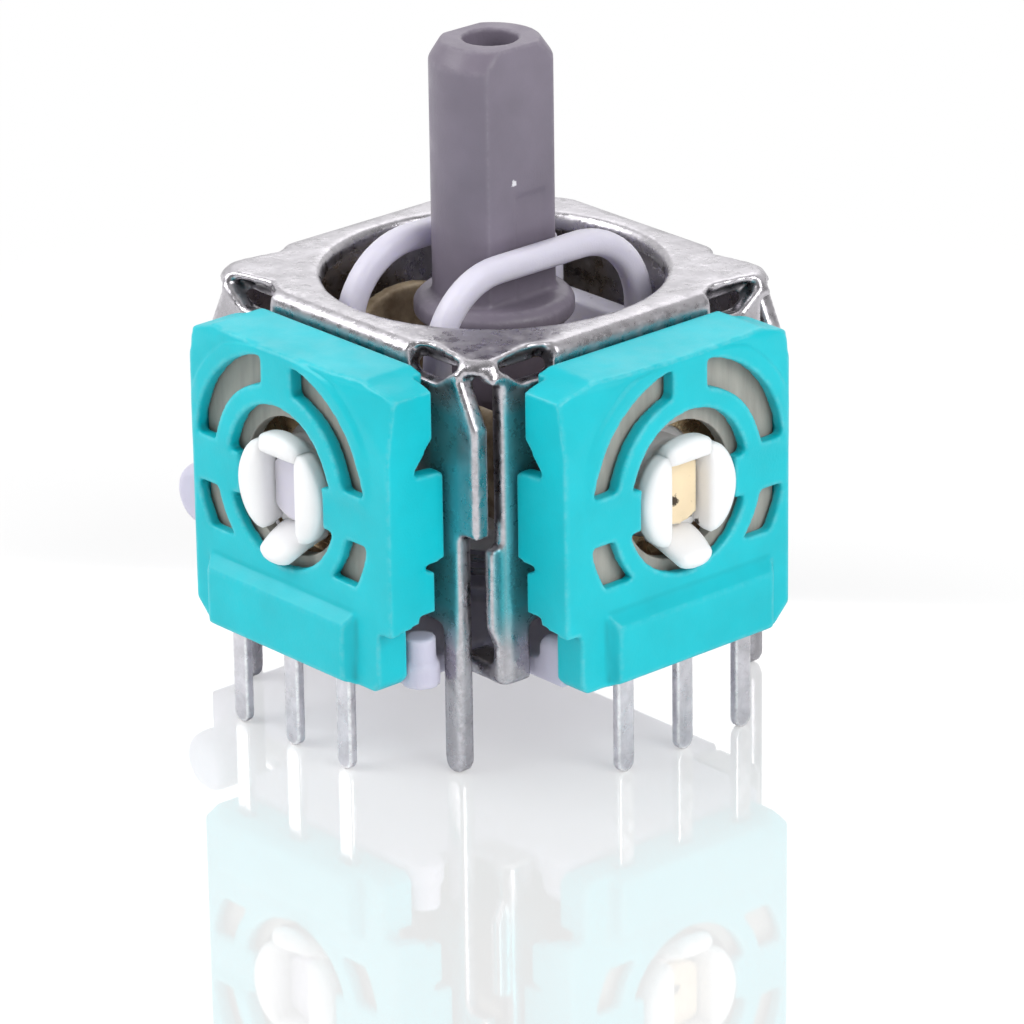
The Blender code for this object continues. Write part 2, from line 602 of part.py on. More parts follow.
def build_base():
    """Moulded floor with ledges, posts, the spring's rim and the switch cradle."""
    base = Solid("base", box_mesh((-BASE_HALF, -BASE_HALF, 0.0), (BASE_HALF, BASE_HALF, BASE_THICK)),
                 BASE_GREY)
    front = outline_mesh(rounded([(-LEDGE_HALF, 0.0), (-LEDGE_HALF, -LEDGE_END), (LEDGE_HALF, -LEDGE_END),
                                  (LEDGE_HALF, 0.0)], POST_STUB_R), "XY", 0.0, BASE_THICK)
    base.add(front)
    side = outline_mesh(rounded([(0.0, -LEDGE_HALF), (LEDGE_END, -LEDGE_HALF), (LEDGE_END, LEDGE_HALF),
                                 (0.0, LEDGE_HALF)], POST_STUB_R / 4), "XY", 0.0, BASE_THICK)
    base.add(side)
    base.add(rod_mesh("Z", POST_R, 0.0, BASE_THICK, centre=(POST_T, -POST_D), sides=SMALL_SIDES))
    base.add(rod_mesh("Z", POST_STUB_R, BASE_THICK / 2, POST_TOP, centre=(POST_T, -POST_D),
                      sides=SMALL_SIDES))
    post = box_mesh((LEDGE_END - SQUARE_POST, -LEDGE_HALF, 0.0),
                    (LEDGE_END, -LEDGE_HALF + SQUARE_POST, SQUARE_POST_TOP))
    top = [edge for edge in post.edges if all(vert.co.z > BASE_THICK for vert in edge.verts)]
    bmesh.ops.bevel(post, geom=top, offset=SQUARE_POST / 4, segments=3, profile=0.5, affect="EDGES")
    base.add(post)
    rim = SPRING_RIM_R
    base.add(turned_mesh([(rim, BASE_THICK / 2), (rim + SPRING_RIM_WALL, BASE_THICK / 2),
                          (rim + SPRING_RIM_WALL, BASE_THICK + SPRING_RIM_HEIGHT),
                          (rim, BASE_THICK + SPRING_RIM_HEIGHT)], "Z"))
    half = SWITCH_WIDTH / 2 + SEAT_GAP + SWITCH_RIM
    long_half = SWITCH_LENGTH / 2 + COVER_THICK + 2 * SEAT_GAP + SWITCH_RIM_LENGTH
    near = SWITCH_X + half
    cradle = outline_mesh(rounded([(near, -long_half), (near, long_half), (SWITCH_X - half, long_half),
                                   (SWITCH_X - half, -long_half)], SWITCH_RIM), "XY", 0.0, SWITCH_RIM_TOP)
    base.add(cradle)
    nub = turned_mesh([(0.0, -SWITCH_LENGTH / 2), (CRADLE_NUB_R, -SWITCH_LENGTH / 2),
                       (CRADLE_NUB_R, -CRADLE_NUB_END + CRADLE_NUB_ROUND),
                       (CRADLE_NUB_R - 0.3 * CRADLE_NUB_ROUND, -CRADLE_NUB_END + 0.3 * CRADLE_NUB_ROUND),
                       (CRADLE_NUB_R - CRADLE_NUB_ROUND, -CRADLE_NUB_END),
                       (0.0, -CRADLE_NUB_END)], "Y", SMALL_SIDES)
    bmesh.ops.translate(nub, verts=nub.verts, vec=(CRADLE_NUB_X, 0.0, CRADLE_NUB_Z))
    base.add(nub)
    base.add(box_mesh((near - SWITCH_RIM / 2, -LEDGE_HALF + SWITCH_RIM, 0.0),
                      (0.0, LEDGE_HALF - SWITCH_RIM, BASE_THICK)))
    inner = half - SWITCH_RIM
    inner_long = long_half - SWITCH_RIM_LENGTH
    base.cut(box_mesh((SWITCH_X - inner, -inner_long, SWITCH_FLOOR),
                      (SWITCH_X + inner, inner_long, AXLE_HEIGHT)))
    for sx in (-1, 1):
        for sy in (-1, 1):
            base.cut(switch_lead_box(sx, sy, SEAT_GAP, -BASE_THICK, SWITCH_LEAD_TOP))
    # Recesses for the frame's tabs, open to the underside.
    for sx in (-1, 1):
        for sy in (-1, 1):
            x0, x1 = span(sx, FRAME_HALF - SHEET - TAB_REACH - TAB_CLEAR, FRAME_HALF + SHEET)
            y0, y1 = span(sy, TAB_OUTER - TAB_WIDTH - TAB_CLEAR, FRAME_HALF)
            base.cut(box_mesh((x0, y0, -SHEET), (x1, y1, SHEET + TAB_CLEAR / 2)))
    base.apply()


def build_stick():
    """Lever turned about Z, with its flats, barrel and foot."""
    low = COLLAR_TOP - COLLAR_THICK
    profile = [(0.0, STICK_TOP), (STICK_R - STICK_CHAMFER, STICK_TOP),
               (STICK_R, STICK_TOP - STICK_CHAMFER_DROP),
               (STICK_R, COLLAR_TOP)]
    profile += [(COLLAR_R - COLLAR_ROUND, COLLAR_TOP), (COLLAR_R, COLLAR_TOP - COLLAR_ROUND),
                (COLLAR_R, low + COLLAR_ROUND), (COLLAR_R - COLLAR_ROUND, low), (NECK_R, low)]
    profile += [(NECK_R, BARREL_R), (BARREL_R, 0.0), (FOOT_R, -FOOT_DROP + FOOT_R / 2)]
    profile += [(FOOT_R * math.cos(math.radians(a)),
                 -FOOT_DROP + FOOT_R / 2 - FOOT_R / 2 * math.sin(math.radians(a)))
                for a in (30, 60)]
    profile += [(0.0, -FOOT_DROP)]
    stick = Solid("stick", lift(turned_mesh(profile, "Z")), MAUVE)
    for sign in (-1, 1):
        x0, x1 = span(sign, STICK_FLAT, 2 * STICK_R)
        stick.cut(lift(box_mesh((x0, -2 * STICK_R, COLLAR_TOP), (x1, 2 * STICK_R, STICK_TOP + STICK_R))))
    stick.cut(lift(rod_mesh("Z", STICK_HOLE_R, STICK_TOP - STICK_HOLE_DEPTH, STICK_TOP + STICK_HOLE_R,
                            sides=SMALL_SIDES + 8)))
    step_low = STICK_STEP_SHIFT - STICK_STEP_WIDTH / 2
    stick.cut(lift(box_mesh((STICK_FLAT - STICK_STEP_DEPTH, step_low, COLLAR_TOP + STICK_STEP_DEPTH),
                            (STICK_R, step_low + STICK_STEP_WIDTH, STICK_STEP_TOP))))
    stick.add(lift(rod_mesh("Y", BARREL_R, -CRADLE_SLOT_HALF + 2 * SEAT_GAP + RUN_GAP,
                            CRADLE_SLOT_HALF - 2 * SEAT_GAP - RUN_GAP)))
    stick.cut(lift(rod_mesh("Y", PIN_R + RUN_GAP, -2 * CRADLE_R, 2 * CRADLE_R, sides=SMALL_SIDES + 4)))
    stick.place(Matrix.Identity(4), AXLE)


def arch_outline():
    """The arch seen along X: flat crown, round shoulders and straight legs."""
    outer_r = ARCH_LEG - ARCH_FLAT_HALF
    inner_r = outer_r - ARCH_THICK
    centre_z = ARCH_TOP - outer_r
    outer = arc((ARCH_FLAT_HALF, centre_z), outer_r, 0, 90, 8)
    outer += arc((-ARCH_FLAT_HALF, centre_z), outer_r, 90, 180, 8)
    inner = arc((-ARCH_FLAT_HALF, centre_z), inner_r, 180, 90, 8)
    inner += arc((ARCH_FLAT_HALF, centre_z), inner_r, 90, 0, 8)
    foot = ARCH_JOIN_Z - ARCH_THICK
    outer += [(-ARCH_LEG, foot), (-ARCH_LEG + ARCH_THICK, foot)]
    return outer + inner + [(ARCH_LEG - ARCH_THICK, foot), (ARCH_LEG, foot)]


def build_upper_yoke():
    """Two rails that cross the lever, joined at each end by a leg with its axle."""
    outer = ARCH_INNER + ARCH_WIDTH
    arch = Solid("upper_yoke",
                 lift(outline_mesh(arch_outline(), "YZ", -outer, -ARCH_INNER, ARCH_ROUND)), LILAC)
    arch.add(lift(outline_mesh(arch_outline(), "YZ", ARCH_INNER, outer, ARCH_ROUND)))
    for sign in (-1, 1):
        y0, y1 = span(sign, ARCH_LEG - ARCH_THICK, ARCH_LEG)
        leg = [(-outer + ARCH_FOOT_INSET, ARCH_JOIN_Z)] + arc((0.0, 0.0), ARCH_FOOT_R, 200, 340, 10)
        leg += [(outer - ARCH_FOOT_INSET, ARCH_JOIN_Z)]
        arch.add(lift(outline_mesh(leg, "XZ", y0 + ARCH_FOOT_INSET, y1 - ARCH_FOOT_INSET)))
        end = AXLE_END if sign < 0 else ARCH_REAR_END
        y0, y1 = span(sign, ARCH_LEG - ARCH_THICK / 2, end)
        arch.add(lift(rod_mesh("Y", AXLE_R, y0, y1, sides=SMALL_SIDES + 8)))
    for sign in (-1, 1):
        x0, x1 = span(sign, AXLE_FLAT, 2 * AXLE_R)
        arch.cut(lift(box_mesh((x0, -AXLE_END - AXLE_R, -2 * AXLE_R),
                               (x1, -AXLE_FLAT_START, 2 * AXLE_R))))
    arch.place(Matrix.Identity(4), AXLE)


def build_lower_yoke():
    """Half-round yoke with a slot for the lever, its axle and the switch arm."""
    foot = -CRADLE_FOOT
    start = math.degrees(math.asin(foot / CRADLE_R))
    section = arc((0.0, 0.0), CRADLE_R, start, 180 - start, 24)
    yoke = Solid("lower_yoke", lift(outline_mesh(section, "YZ", -CRADLE_HALF, CRADLE_HALF)), CREAM)
    slot_end = CRADLE_HALF - CRADLE_END_WALL
    yoke.cut(lift(box_mesh((-slot_end, -CRADLE_SLOT_HALF, -2 * CRADLE_R),
                           (slot_end, CRADLE_SLOT_HALF, 2 * CRADLE_R))))
    yoke.add(lift(rod_mesh("X", AXLE_R, CRADLE_HALF - CRADLE_END_WALL / 2, AXLE_END,
                           sides=SMALL_SIDES + 8)))
    for sign in (-1, 1):
        y0, y1 = span(sign, AXLE_FLAT, 2 * AXLE_R)
        yoke.cut(lift(box_mesh((AXLE_FLAT_START, y0, -2 * AXLE_R), (AXLE_END + AXLE_R, y1, 2 * AXLE_R))))
    yoke.add(lift(rod_mesh("X", SWITCH_ARM_R, -SWITCH_ARM_END, -CRADLE_HALF + CRADLE_END_WALL / 2,
                           sides=SMALL_SIDES + 8)))
    yoke.cut(lift(rod_mesh("X", YOKE_DIMPLE_R, AXLE_END - YOKE_DIMPLE_DEPTH, AXLE_END + AXLE_R,
                           sides=SMALL_SIDES)))
    yoke.cut(lift(rod_mesh("Y", PIN_R + SEAT_GAP, -2 * CRADLE_R, 2 * CRADLE_R, sides=SMALL_SIDES + 4)))
    yoke.place(Matrix.Identity(4), AXLE)
    pin = Solid("pivot_pin", lift(rod_mesh("Y", PIN_R, -PIN_HALF, PIN_HALF, sides=SMALL_SIDES + 4)),
                SPRING_STEEL)
    pin.place(Matrix.Identity(4), AXLE)


def seat_top():
    """Height of the spring seat's upper face."""
    return AXLE_HEIGHT - FOOT_DROP - SEAT_FOOT_GAP


def build_spring():
    """Seat that the lever's foot presses on, and the coil under it."""
    top = seat_top()
    low = top - SEAT_THICK
    rim = top + SEAT_RIM
    profile = [(0.0, low), (SEAT_R, low), (SEAT_R, rim), (SEAT_R - SEAT_RIM, rim),
               (SEAT_R - SEAT_RIM, top), (0.0, top)]
    seat = Solid("spring_seat", turned_mesh(profile, "Z"), WHITE)
    seat.place(Matrix.Identity(4), Vector((0.0, 0.0, low)))
    start = BASE_THICK + SPRING_WIRE_R + SEAT_GAP
    end = low - SPRING_WIRE_R - SEAT_GAP
    curve = bpy.data.curves.new("coil_spring_path", "CURVE")
    curve.dimensions = "3D"
    curve.bevel_depth = SPRING_WIRE_R
    curve.bevel_resolution = 1
    curve.use_fill_caps = True
    spline = curve.splines.new("POLY")
    count = int(SPRING_TURNS * 24)
    spline.points.add(count)
    for i in range(count + 1):
        angle = 2 * math.pi * SPRING_TURNS * i / count
        height = start + (end - start) * i / count
        spline.points[i].co = (SPRING_R * math.cos(angle), SPRING_R * math.sin(angle), height, 1.0)
    path = bpy.data.objects.new("coil_spring_path", curve)
    PARTS.objects.link(path)
    bpy.context.view_layer.update()
    graph = bpy.context.evaluated_depsgraph_get()
    mesh = bpy.data.meshes.new_from_object(path.evaluated_get(graph))
    bpy.data.objects.remove(path)
    bm = bmesh.new()
    bm.from_mesh(mesh)
    bmesh.ops.remove_doubles(bm, verts=bm.verts, dist=1e-7)
    link_mesh("coil_spring", bm, PARTS, SPRING_STEEL)


def pot_section(near):
    """The cover seen from its face; its wide half is on the side that near names."""
    low_half = POT_HALF - POT_LOW_INSET
    outline = [(-POT_FAR_HALF + POT_FAR_SHOULDER, POT_TOP), (-POT_FAR_HALF, POT_SHOULDER_Z),
               (-POT_FAR_HALF, POT_LOW_FOOT + POT_FAR_CORNER),
               (-POT_FAR_HALF + POT_FAR_CORNER, POT_LOW_FOOT),
               (low_half - POT_LOW_CORNER, POT_LOW_FOOT), (low_half, POT_LOW_FOOT + POT_LOW_CORNER),
               (low_half, POT_SIDE_FOOT_FACE), (POT_HALF, POT_SIDE_FOOT_FACE), (POT_HALF, POT_SHOULDER_Z),
               (POT_HALF - POT_SHOULDER, POT_TOP)]
    return [(near * a, b) for a, b in outline]


def pot_cavity(near):
    """The room inside the cover, seen from its face."""
    wall = POT_WALL
    foot = POT_BLOCK_TOP - wall
    outline = [(-POT_FAR_HALF + POT_FAR_SHOULDER, POT_TOP - wall),
               (-POT_FAR_HALF + POT_FAR_WALL, POT_SHOULDER_Z - wall / 2),
               (-POT_FAR_HALF + POT_FAR_WALL, foot),
               (POT_HALF - wall, foot), (POT_HALF - wall, POT_SHOULDER_Z - wall / 2),
               (POT_HALF - POT_SHOULDER - wall / 2, POT_TOP - wall)]
    return [(near * a, b) for a, b in outline]


def window_outline(upper):
    """One quarter window between the ring and the rim, bounded by the spokes."""
    level = SPOKE_TOP if upper else -SPOKE_HALF
    end = SPOKE_HALF if upper else WINDOW_FOOT
    angles = []
    for radius in (WINDOW_OUTER_R, RING_OUTER_R):
        start = math.degrees(math.asin(level / radius))
        stop = math.degrees(math.acos(end / radius)) if upper else math.degrees(math.asin(end / radius))
        angles.append((start, stop))
    (outer_start, outer_end), (inner_start, inner_end) = angles
    outer = arc((0.0, 0.0), WINDOW_OUTER_R, outer_start, outer_end, 8)
    return outer + arc((0.0, 0.0), RING_OUTER_R, inner_end, inner_start, 8)


def build_pot_cover(side):
    """Teal cover, drawn facing -Y and turned to its side of the module."""
    near = POT_NEAR[side]
    wall = POT_WALL
    block = outline_mesh(pot_section(near), "XZ", -POT_FACE, -POT_BACK_TOP)
    cover = Solid(f"{side}_pot_housing", block, TEAL)
    cover.cut(outline_mesh(pot_cavity(near), "XZ", -POT_FACE + wall, 0.0))
    # The lower part only reaches back behind the face as far as the terminals need.
    cover.cut(box_mesh((-2 * POT_HALF, -POT_LOW_BACK, 2 * POT_LOW_FOOT),
                       (2 * POT_HALF, 0.0, POT_BLOCK_TOP)))
    for sign in (-1, 1):
        half = POT_HALF if sign == near else POT_FAR_HALF
        x0, x1 = span(sign, half - 1.5 * wall, half + wall)
        far = -POT_BACK_TOP + wall
        # Wedge notches above and below the clip block, and the slanted foot.
        high = [(far, POT_NOTCH_HIGH), (-POT_BACK_LOBE, POT_NOTCH_HIGH),
                (-POT_NOTCH_TIP, POT_CLIP_HALF + 0.15 * wall),
                (-POT_CLIP_BACK, POT_CLIP_HALF), (far, POT_CLIP_HALF)]
        cover.cut(outline_mesh(high, "YZ", x0, x1))
        low = [(far, POT_NOTCH_LOW), (-POT_BACK_LOBE, POT_NOTCH_LOW),
               (-POT_NOTCH_TIP, -POT_CLIP_HALF - 0.1 * wall),
               (-POT_CLIP_BACK, -POT_CLIP_HALF), (far, -POT_CLIP_HALF)]
        cover.cut(outline_mesh(low, "YZ", x0, x1))
        cover.cut(box_mesh((x0, -POT_BACK_LOBE, POT_NOTCH_HIGH - wall / 4), (x1, far, POT_TOP + wall)))
        cover.cut(box_mesh((x0, -POT_BACK_LOBE, -POT_HALF), (x1, far, POT_NOTCH_LOW + wall / 4)))
    slant = [(0.0, POT_SIDE_FOOT), (-POT_BACK_LOBE, POT_SIDE_FOOT),
             (-POT_FACE - wall, POT_SIDE_FOOT_FACE),
             (-POT_FACE - wall, 2 * POT_LOW_FOOT), (0.0, 2 * POT_LOW_FOOT)]
    cover.cut(outline_mesh(slant, "YZ", *span(near, POT_HALF - POT_LOW_INSET, POT_HALF + wall)))
    # The raised block over the terminals.
    face = -POT_FACE - POT_BLOCK_RISE
    block_foot = POT_LOW_FOOT + wall / 20
    block = [(-POT_FACE + wall / 2, POT_BLOCK_TOP), (-POT_FACE, POT_BLOCK_TOP),
             (face, POT_BLOCK_TOP - POT_BLOCK_RISE),
             (face, block_foot + wall / 4), (-POT_FACE, block_foot), (-POT_FACE + wall / 2, block_foot)]
    raised = outline_mesh(block, "YZ", -POT_BLOCK_HALF, POT_BLOCK_HALF)
    for vert in raised.verts:
        if vert.co.y < -POT_FACE - POT_BLOCK_RISE / 2:
            vert.co.x -= math.copysign(POT_BLOCK_DRAFT, vert.co.x)
    cover.add(raised)
    # Shallow facets across the upper corners of the face.
    for sign in (-1, 1):
        crease = POT_CREASE if sign == near else POT_FAR_CREASE
        reach = 2 * POT_HALF
        back = 0.1 * wall
        facet = [(-POT_FACE - back, crease - back / POT_CREASE_SLOPE),
                 (-POT_FACE + reach * POT_CREASE_SLOPE, crease + reach),
                 (-POT_FACE - reach, crease + reach)]
        tilt = Matrix.Rotation(math.radians(sign * POT_CREASE_TURN), 4, "Y")
        cover.cut(turned(outline_mesh(facet, "YZ", -reach, reach), tilt))
    front = -POT_FACE - wall
    back = -POT_FACE + 1.5 * wall
    cover.cut(rod_mesh("Y", WINDOW_HOLE_R, front, back))
    for sign in (-1, 1):
        x0, x1 = span(sign, SPUR_REACH, WINDOW_HOLE_R + 0.1 * wall)
        cover.add(box_mesh((x0, -POT_FACE, -SPUR_HALF), (x1, -POT_FACE + wall, SPUR_HALF)))
        for upper in (False, True):
            points = window_outline(upper)
            cover.cut(outline_mesh([(sign * a, b) for a, b in points], "XZ", front, back))
    for i in (-1, 0, 1):
        half = TERMINAL_WIDTH / 2 + SEAT_GAP
        x = i * TERMINAL_PITCH
        cover.cut(box_mesh((x - half, -TERMINAL_FACE - SEAT_GAP, -2 * AXLE_HEIGHT),
                           (x + half, -TERMINAL_FACE + TERMINAL_THICK + SEAT_GAP,
                            TERMINAL_TOP - AXLE_HEIGHT + SEAT_GAP)))
    cover.place(Matrix.Translation(AXLE) @ POT_TURNS[side], POT_TURNS[side] @ AXLE)


def build_board(side):
    """Resistor board behind the cover's face."""
    half = POT_HALF - POT_WALL - BOARD_GAP
    far_half = POT_FAR_HALF - POT_FAR_WALL - BOARD_FAR_GAP
    outline = [(-far_half, BOARD_FOOT), (half, BOARD_FOOT), (half, BOARD_TOP - BOARD_CORNER),
               (half - BOARD_CORNER, BOARD_TOP), (-far_half + BOARD_CORNER, BOARD_TOP),
               (-far_half, BOARD_TOP - BOARD_CORNER)]
    outline = [(POT_NEAR[side] * a, b) for a, b in outline]
    plate = outline_mesh(outline, "XZ", -BOARD_BACK - BOARD_THICK, -BOARD_BACK)
    board = Solid(f"{side}_film_board", plate, BOARD)
    board.cut(rod_mesh("Y", BOARD_HOLE_R, -2 * BOARD_BACK, 0.0))
    board.place(Matrix.Translation(AXLE) @ POT_TURNS[side], POT_TURNS[side] @ AXLE)


def build_rotor(side):
    """Disc with a slotted neck whose four lips flare; the lowest lip is a longer leaf."""
    front = ROTOR_BACK + ROTOR_FLANGE_THICK
    rim = [(ROTOR_LIP_R - ROTOR_LIP_ROUND + a, -ROTOR_END + ROTOR_LIP_ROUND - b)
           for a, b in arc((0.0, 0.0), ROTOR_LIP_ROUND, 0, 90, 4)]
    profile = [(0.0, -ROTOR_BACK), (ROTOR_FLANGE_R, -ROTOR_BACK), (ROTOR_FLANGE_R, -front),
               (ROTOR_NECK_R, -front), (ROTOR_NECK_R, -ROTOR_LIP_START)]
    profile += rim + [(0.0, -ROTOR_END)]
    rotor = Solid(f"{side}_rotor", turned_mesh(profile, "Y"), WHITE)
    leaf = [(-ROTOR_LIP_START, -ROTOR_SLOT_TALL), (-ROTOR_LIP_START, -ROTOR_NECK_R),
            (-LEAF_END + LEAF_THICK, -LEAF_REACH + 0.3 * LEAF_THICK),
            (-LEAF_END + 0.5 * LEAF_THICK, -LEAF_REACH),
            (-LEAF_END + 0.1 * LEAF_THICK, -LEAF_REACH + 0.1 * LEAF_THICK),
            (-LEAF_END, -LEAF_REACH + 0.6 * LEAF_THICK),
            (-ROTOR_END + 0.5 * LEAF_THICK, -ROTOR_SLOT_TALL)]
    rotor.add(outline_mesh(leaf, "YZ", -LEAF_HALF, LEAF_HALF))
    rotor.cut(box_mesh((-ROTOR_SLOT_HALF, -2 * ROTOR_END, -ROTOR_SLOT_TALL),
                       (ROTOR_SLOT_HALF, 0.0, ROTOR_SLOT_TALL)))
    slit_turn = math.degrees(math.atan2(ROTOR_SLOT_TALL, ROTOR_SLOT_HALF))
    for turn in (slit_turn, 180.0 - slit_turn):
        slit = box_mesh((-2 * LEAF_REACH, -2 * ROTOR_END, -ROTOR_SLIT / 2),
                        (2 * LEAF_REACH, -front - ROTOR_FLANGE_THICK, ROTOR_SLIT / 2))
        rotor.cut(turned(slit, Matrix.Rotation(math.radians(turn), 4, "Y")))
    rotor.place(Matrix.Translation(AXLE) @ POT_TURNS[side], POT_TURNS[side] @ AXLE)


def build_wiper(side):
    """Contact ring on the rotor, with two curved arms that reach the board."""
    back = ROTOR_BACK + ROTOR_FLANGE_THICK + SEAT_GAP
    profile = [(WIPER_INNER_R, -back), (WIPER_OUTER_R, -back), (WIPER_OUTER_R, -back - WIPER_THICK),
               (WIPER_INNER_R, -back - WIPER_THICK)]
    wiper = Solid(f"{side}_wiper", turned_mesh(profile, "Y"), COPPER)
    rise = BOARD_BACK - back - SEAT_GAP
    radius = (WIPER_INNER_R + WIPER_OUTER_R) / 2
    for sign in (-1, 1):
        low = WIPER_THICK / 2
        arm = [(-back - low, radius - WIPER_ARM_HALF), (-back - rise, radius - WIPER_ARM_HALF / 3),
               (-back - rise, radius + WIPER_ARM_HALF / 3), (-back - low, radius + WIPER_ARM_HALF)]
        arm = [(a, sign * b) for a, b in arm]
        wiper.add(outline_mesh(arm, "YZ", -WIPER_ARM_HALF, WIPER_ARM_HALF))
    wiper.place(Matrix.Translation(AXLE) @ POT_TURNS[side], POT_TURNS[side] @ AXLE)


def build_terminal(side, number):
    """Solder blade with a round tip."""
    half = TERMINAL_WIDTH / 2
    x = (number - 2) * TERMINAL_PITCH
    outline = [(x + half, TERMINAL_TOP), (x - half, TERMINAL_TOP)]
    outline += arc((x, -LEG_DROP + half), half, 180, 360, 8)
    blade = Solid(f"{side}_terminal_{number}",
                  outline_mesh(outline, "XZ", -TERMINAL_FACE, -TERMINAL_FACE + TERMINAL_THICK), TINNED)
    blade.place(POT_TURNS[side], Vector((0.0, 0.0, 0.0)))


def switch_lead_box(sx, sy, gap, low, high):
    """The block that one switch terminal fills, widened by a gap."""
    x = SWITCH_X + sx * SWITCH_LEAD_X
    y = sy * SWITCH_LEAD_Y
    half = SWITCH_LEAD_WIDTH / 2 + gap
    thick = SWITCH_LEAD_THICK / 2 + gap
    return box_mesh((x - half, y - thick, low), (x + half, y + thick, high))


def build_switch():
    """Push switch in the cradle: body, cover, plunger, dome and four leads."""
    floor = SWITCH_FLOOR + SEAT_GAP
    top = floor + SWITCH_HEIGHT
    half = SWITCH_WIDTH / 2
    long_half = SWITCH_LENGTH / 2
    body = Solid("switch_body", box_mesh((SWITCH_X - half, -long_half, floor),
                                         (SWITCH_X + half, long_half, top)), BLACK)
    pocket = top - SWITCH_POCKET_DEPTH
    body.cut(rod_mesh("Z", SWITCH_POCKET_R, pocket, top + SWITCH_HEIGHT, centre=(SWITCH_X, 0.0),
                      sides=SMALL_SIDES + 8))
    for sx in (-1, 1):
        for sy in (-1, 1):
            body.cut(switch_lead_box(sx, sy, SEAT_GAP, -BASE_THICK, SWITCH_LEAD_TOP + SEAT_GAP))
    body.place(Matrix.Identity(4), Vector((SWITCH_X, 0.0, floor)))

    low = top + SEAT_GAP
    cover = Solid("switch_cover", box_mesh((SWITCH_X - half, -long_half - SEAT_GAP - COVER_THICK, low),
                                           (SWITCH_X + half, long_half + SEAT_GAP + COVER_THICK,
                                            low + COVER_THICK)),
                  PLATED)
    cover.cut(rod_mesh("Z", PLUNGER_R + RUN_GAP, 0.0, 2 * low, centre=(SWITCH_X, 0.0),
                       sides=SMALL_SIDES + 8))
    for sign in (-1, 1):
        y0, y1 = span(sign, long_half + SEAT_GAP, long_half + SEAT_GAP + COVER_THICK)
        cover.add(box_mesh((SWITCH_X - COVER_TAB_HALF, y0, low - COVER_TAB_DROP),
                           (SWITCH_X + COVER_TAB_HALF, y1, low + COVER_THICK / 2)))
    cover.place(Matrix.Identity(4), Vector((SWITCH_X, 0.0, low)))

    flange_top = top - SEAT_GAP
    flange_low = flange_top - PLUNGER_FLANGE
    stem_top = AXLE_HEIGHT - SWITCH_ARM_R - SEAT_GAP
    profile = [(0.0, flange_low), (PLUNGER_FLANGE_R, flange_low), (PLUNGER_FLANGE_R, flange_top),
               (PLUNGER_R, flange_top), (PLUNGER_R, stem_top - PLUNGER_ROUND),
               (PLUNGER_R - PLUNGER_ROUND, stem_top),
               (0.0, stem_top)]
    plunger = Solid("switch_plunger", turned_mesh(profile, "Z", SMALL_SIDES + 8), WHITE)
    plunger.place(Matrix.Translation((SWITCH_X, 0.0, 0.0)), Vector((SWITCH_X, 0.0, flange_low)))

    rise = DOME_RISE
    radius = (DOME_R ** 2 + rise ** 2) / (2 * rise)
    spread = math.degrees(math.asin(DOME_R / radius))
    centre = pocket + SEAT_GAP + DOME_THICK + rise - radius
    outer = arc((0.0, centre), radius, 90 - spread, 90, 4)
    inner = arc((0.0, centre), radius - DOME_THICK, 90, 90 - spread, 4)
    dome = Solid("switch_dome", turned_mesh(outer + inner, "Z", SMALL_SIDES + 4), SPRING_STEEL)
    dome.place(Matrix.Translation((SWITCH_X, 0.0, 0.0)), Vector((SWITCH_X, 0.0, pocket)))

    number = 0
    for sx in (-1, 1):
        for sy in (-1, 1):
            number += 1
            strip = switch_lead_box(sx, sy, 0.0, -LEG_DROP, SWITCH_LEAD_TOP)
            lead = Solid(f"switch_terminal_{number}", strip, TINNED)
            lead.apply()


def build():
    """Make every piece."""
    build_frame()
    build_base()
    build_stick()
    build_upper_yoke()
    build_lower_yoke()
    build_spring()
    for side in POT_TURNS:
        build_pot_cover(side)
        build_board(side)
        build_rotor(side)
        build_wiper(side)
        for number in (1, 2, 3):
            build_terminal(side, number)
    build_switch()


build()
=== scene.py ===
"""Looks of a two-axis analog stick module: finishes, rounded edges and studio.

Run as a script, in metres. The upper yoke and the rotors are drawn anew; every other piece
is a softened or rounded copy of its CAD node.
"""
import json
import math

import bmesh
import bpy
import numpy as np
from bpy.props import FloatProperty, FloatVectorProperty, IntProperty, PointerProperty
from mathutils import Matrix, Vector


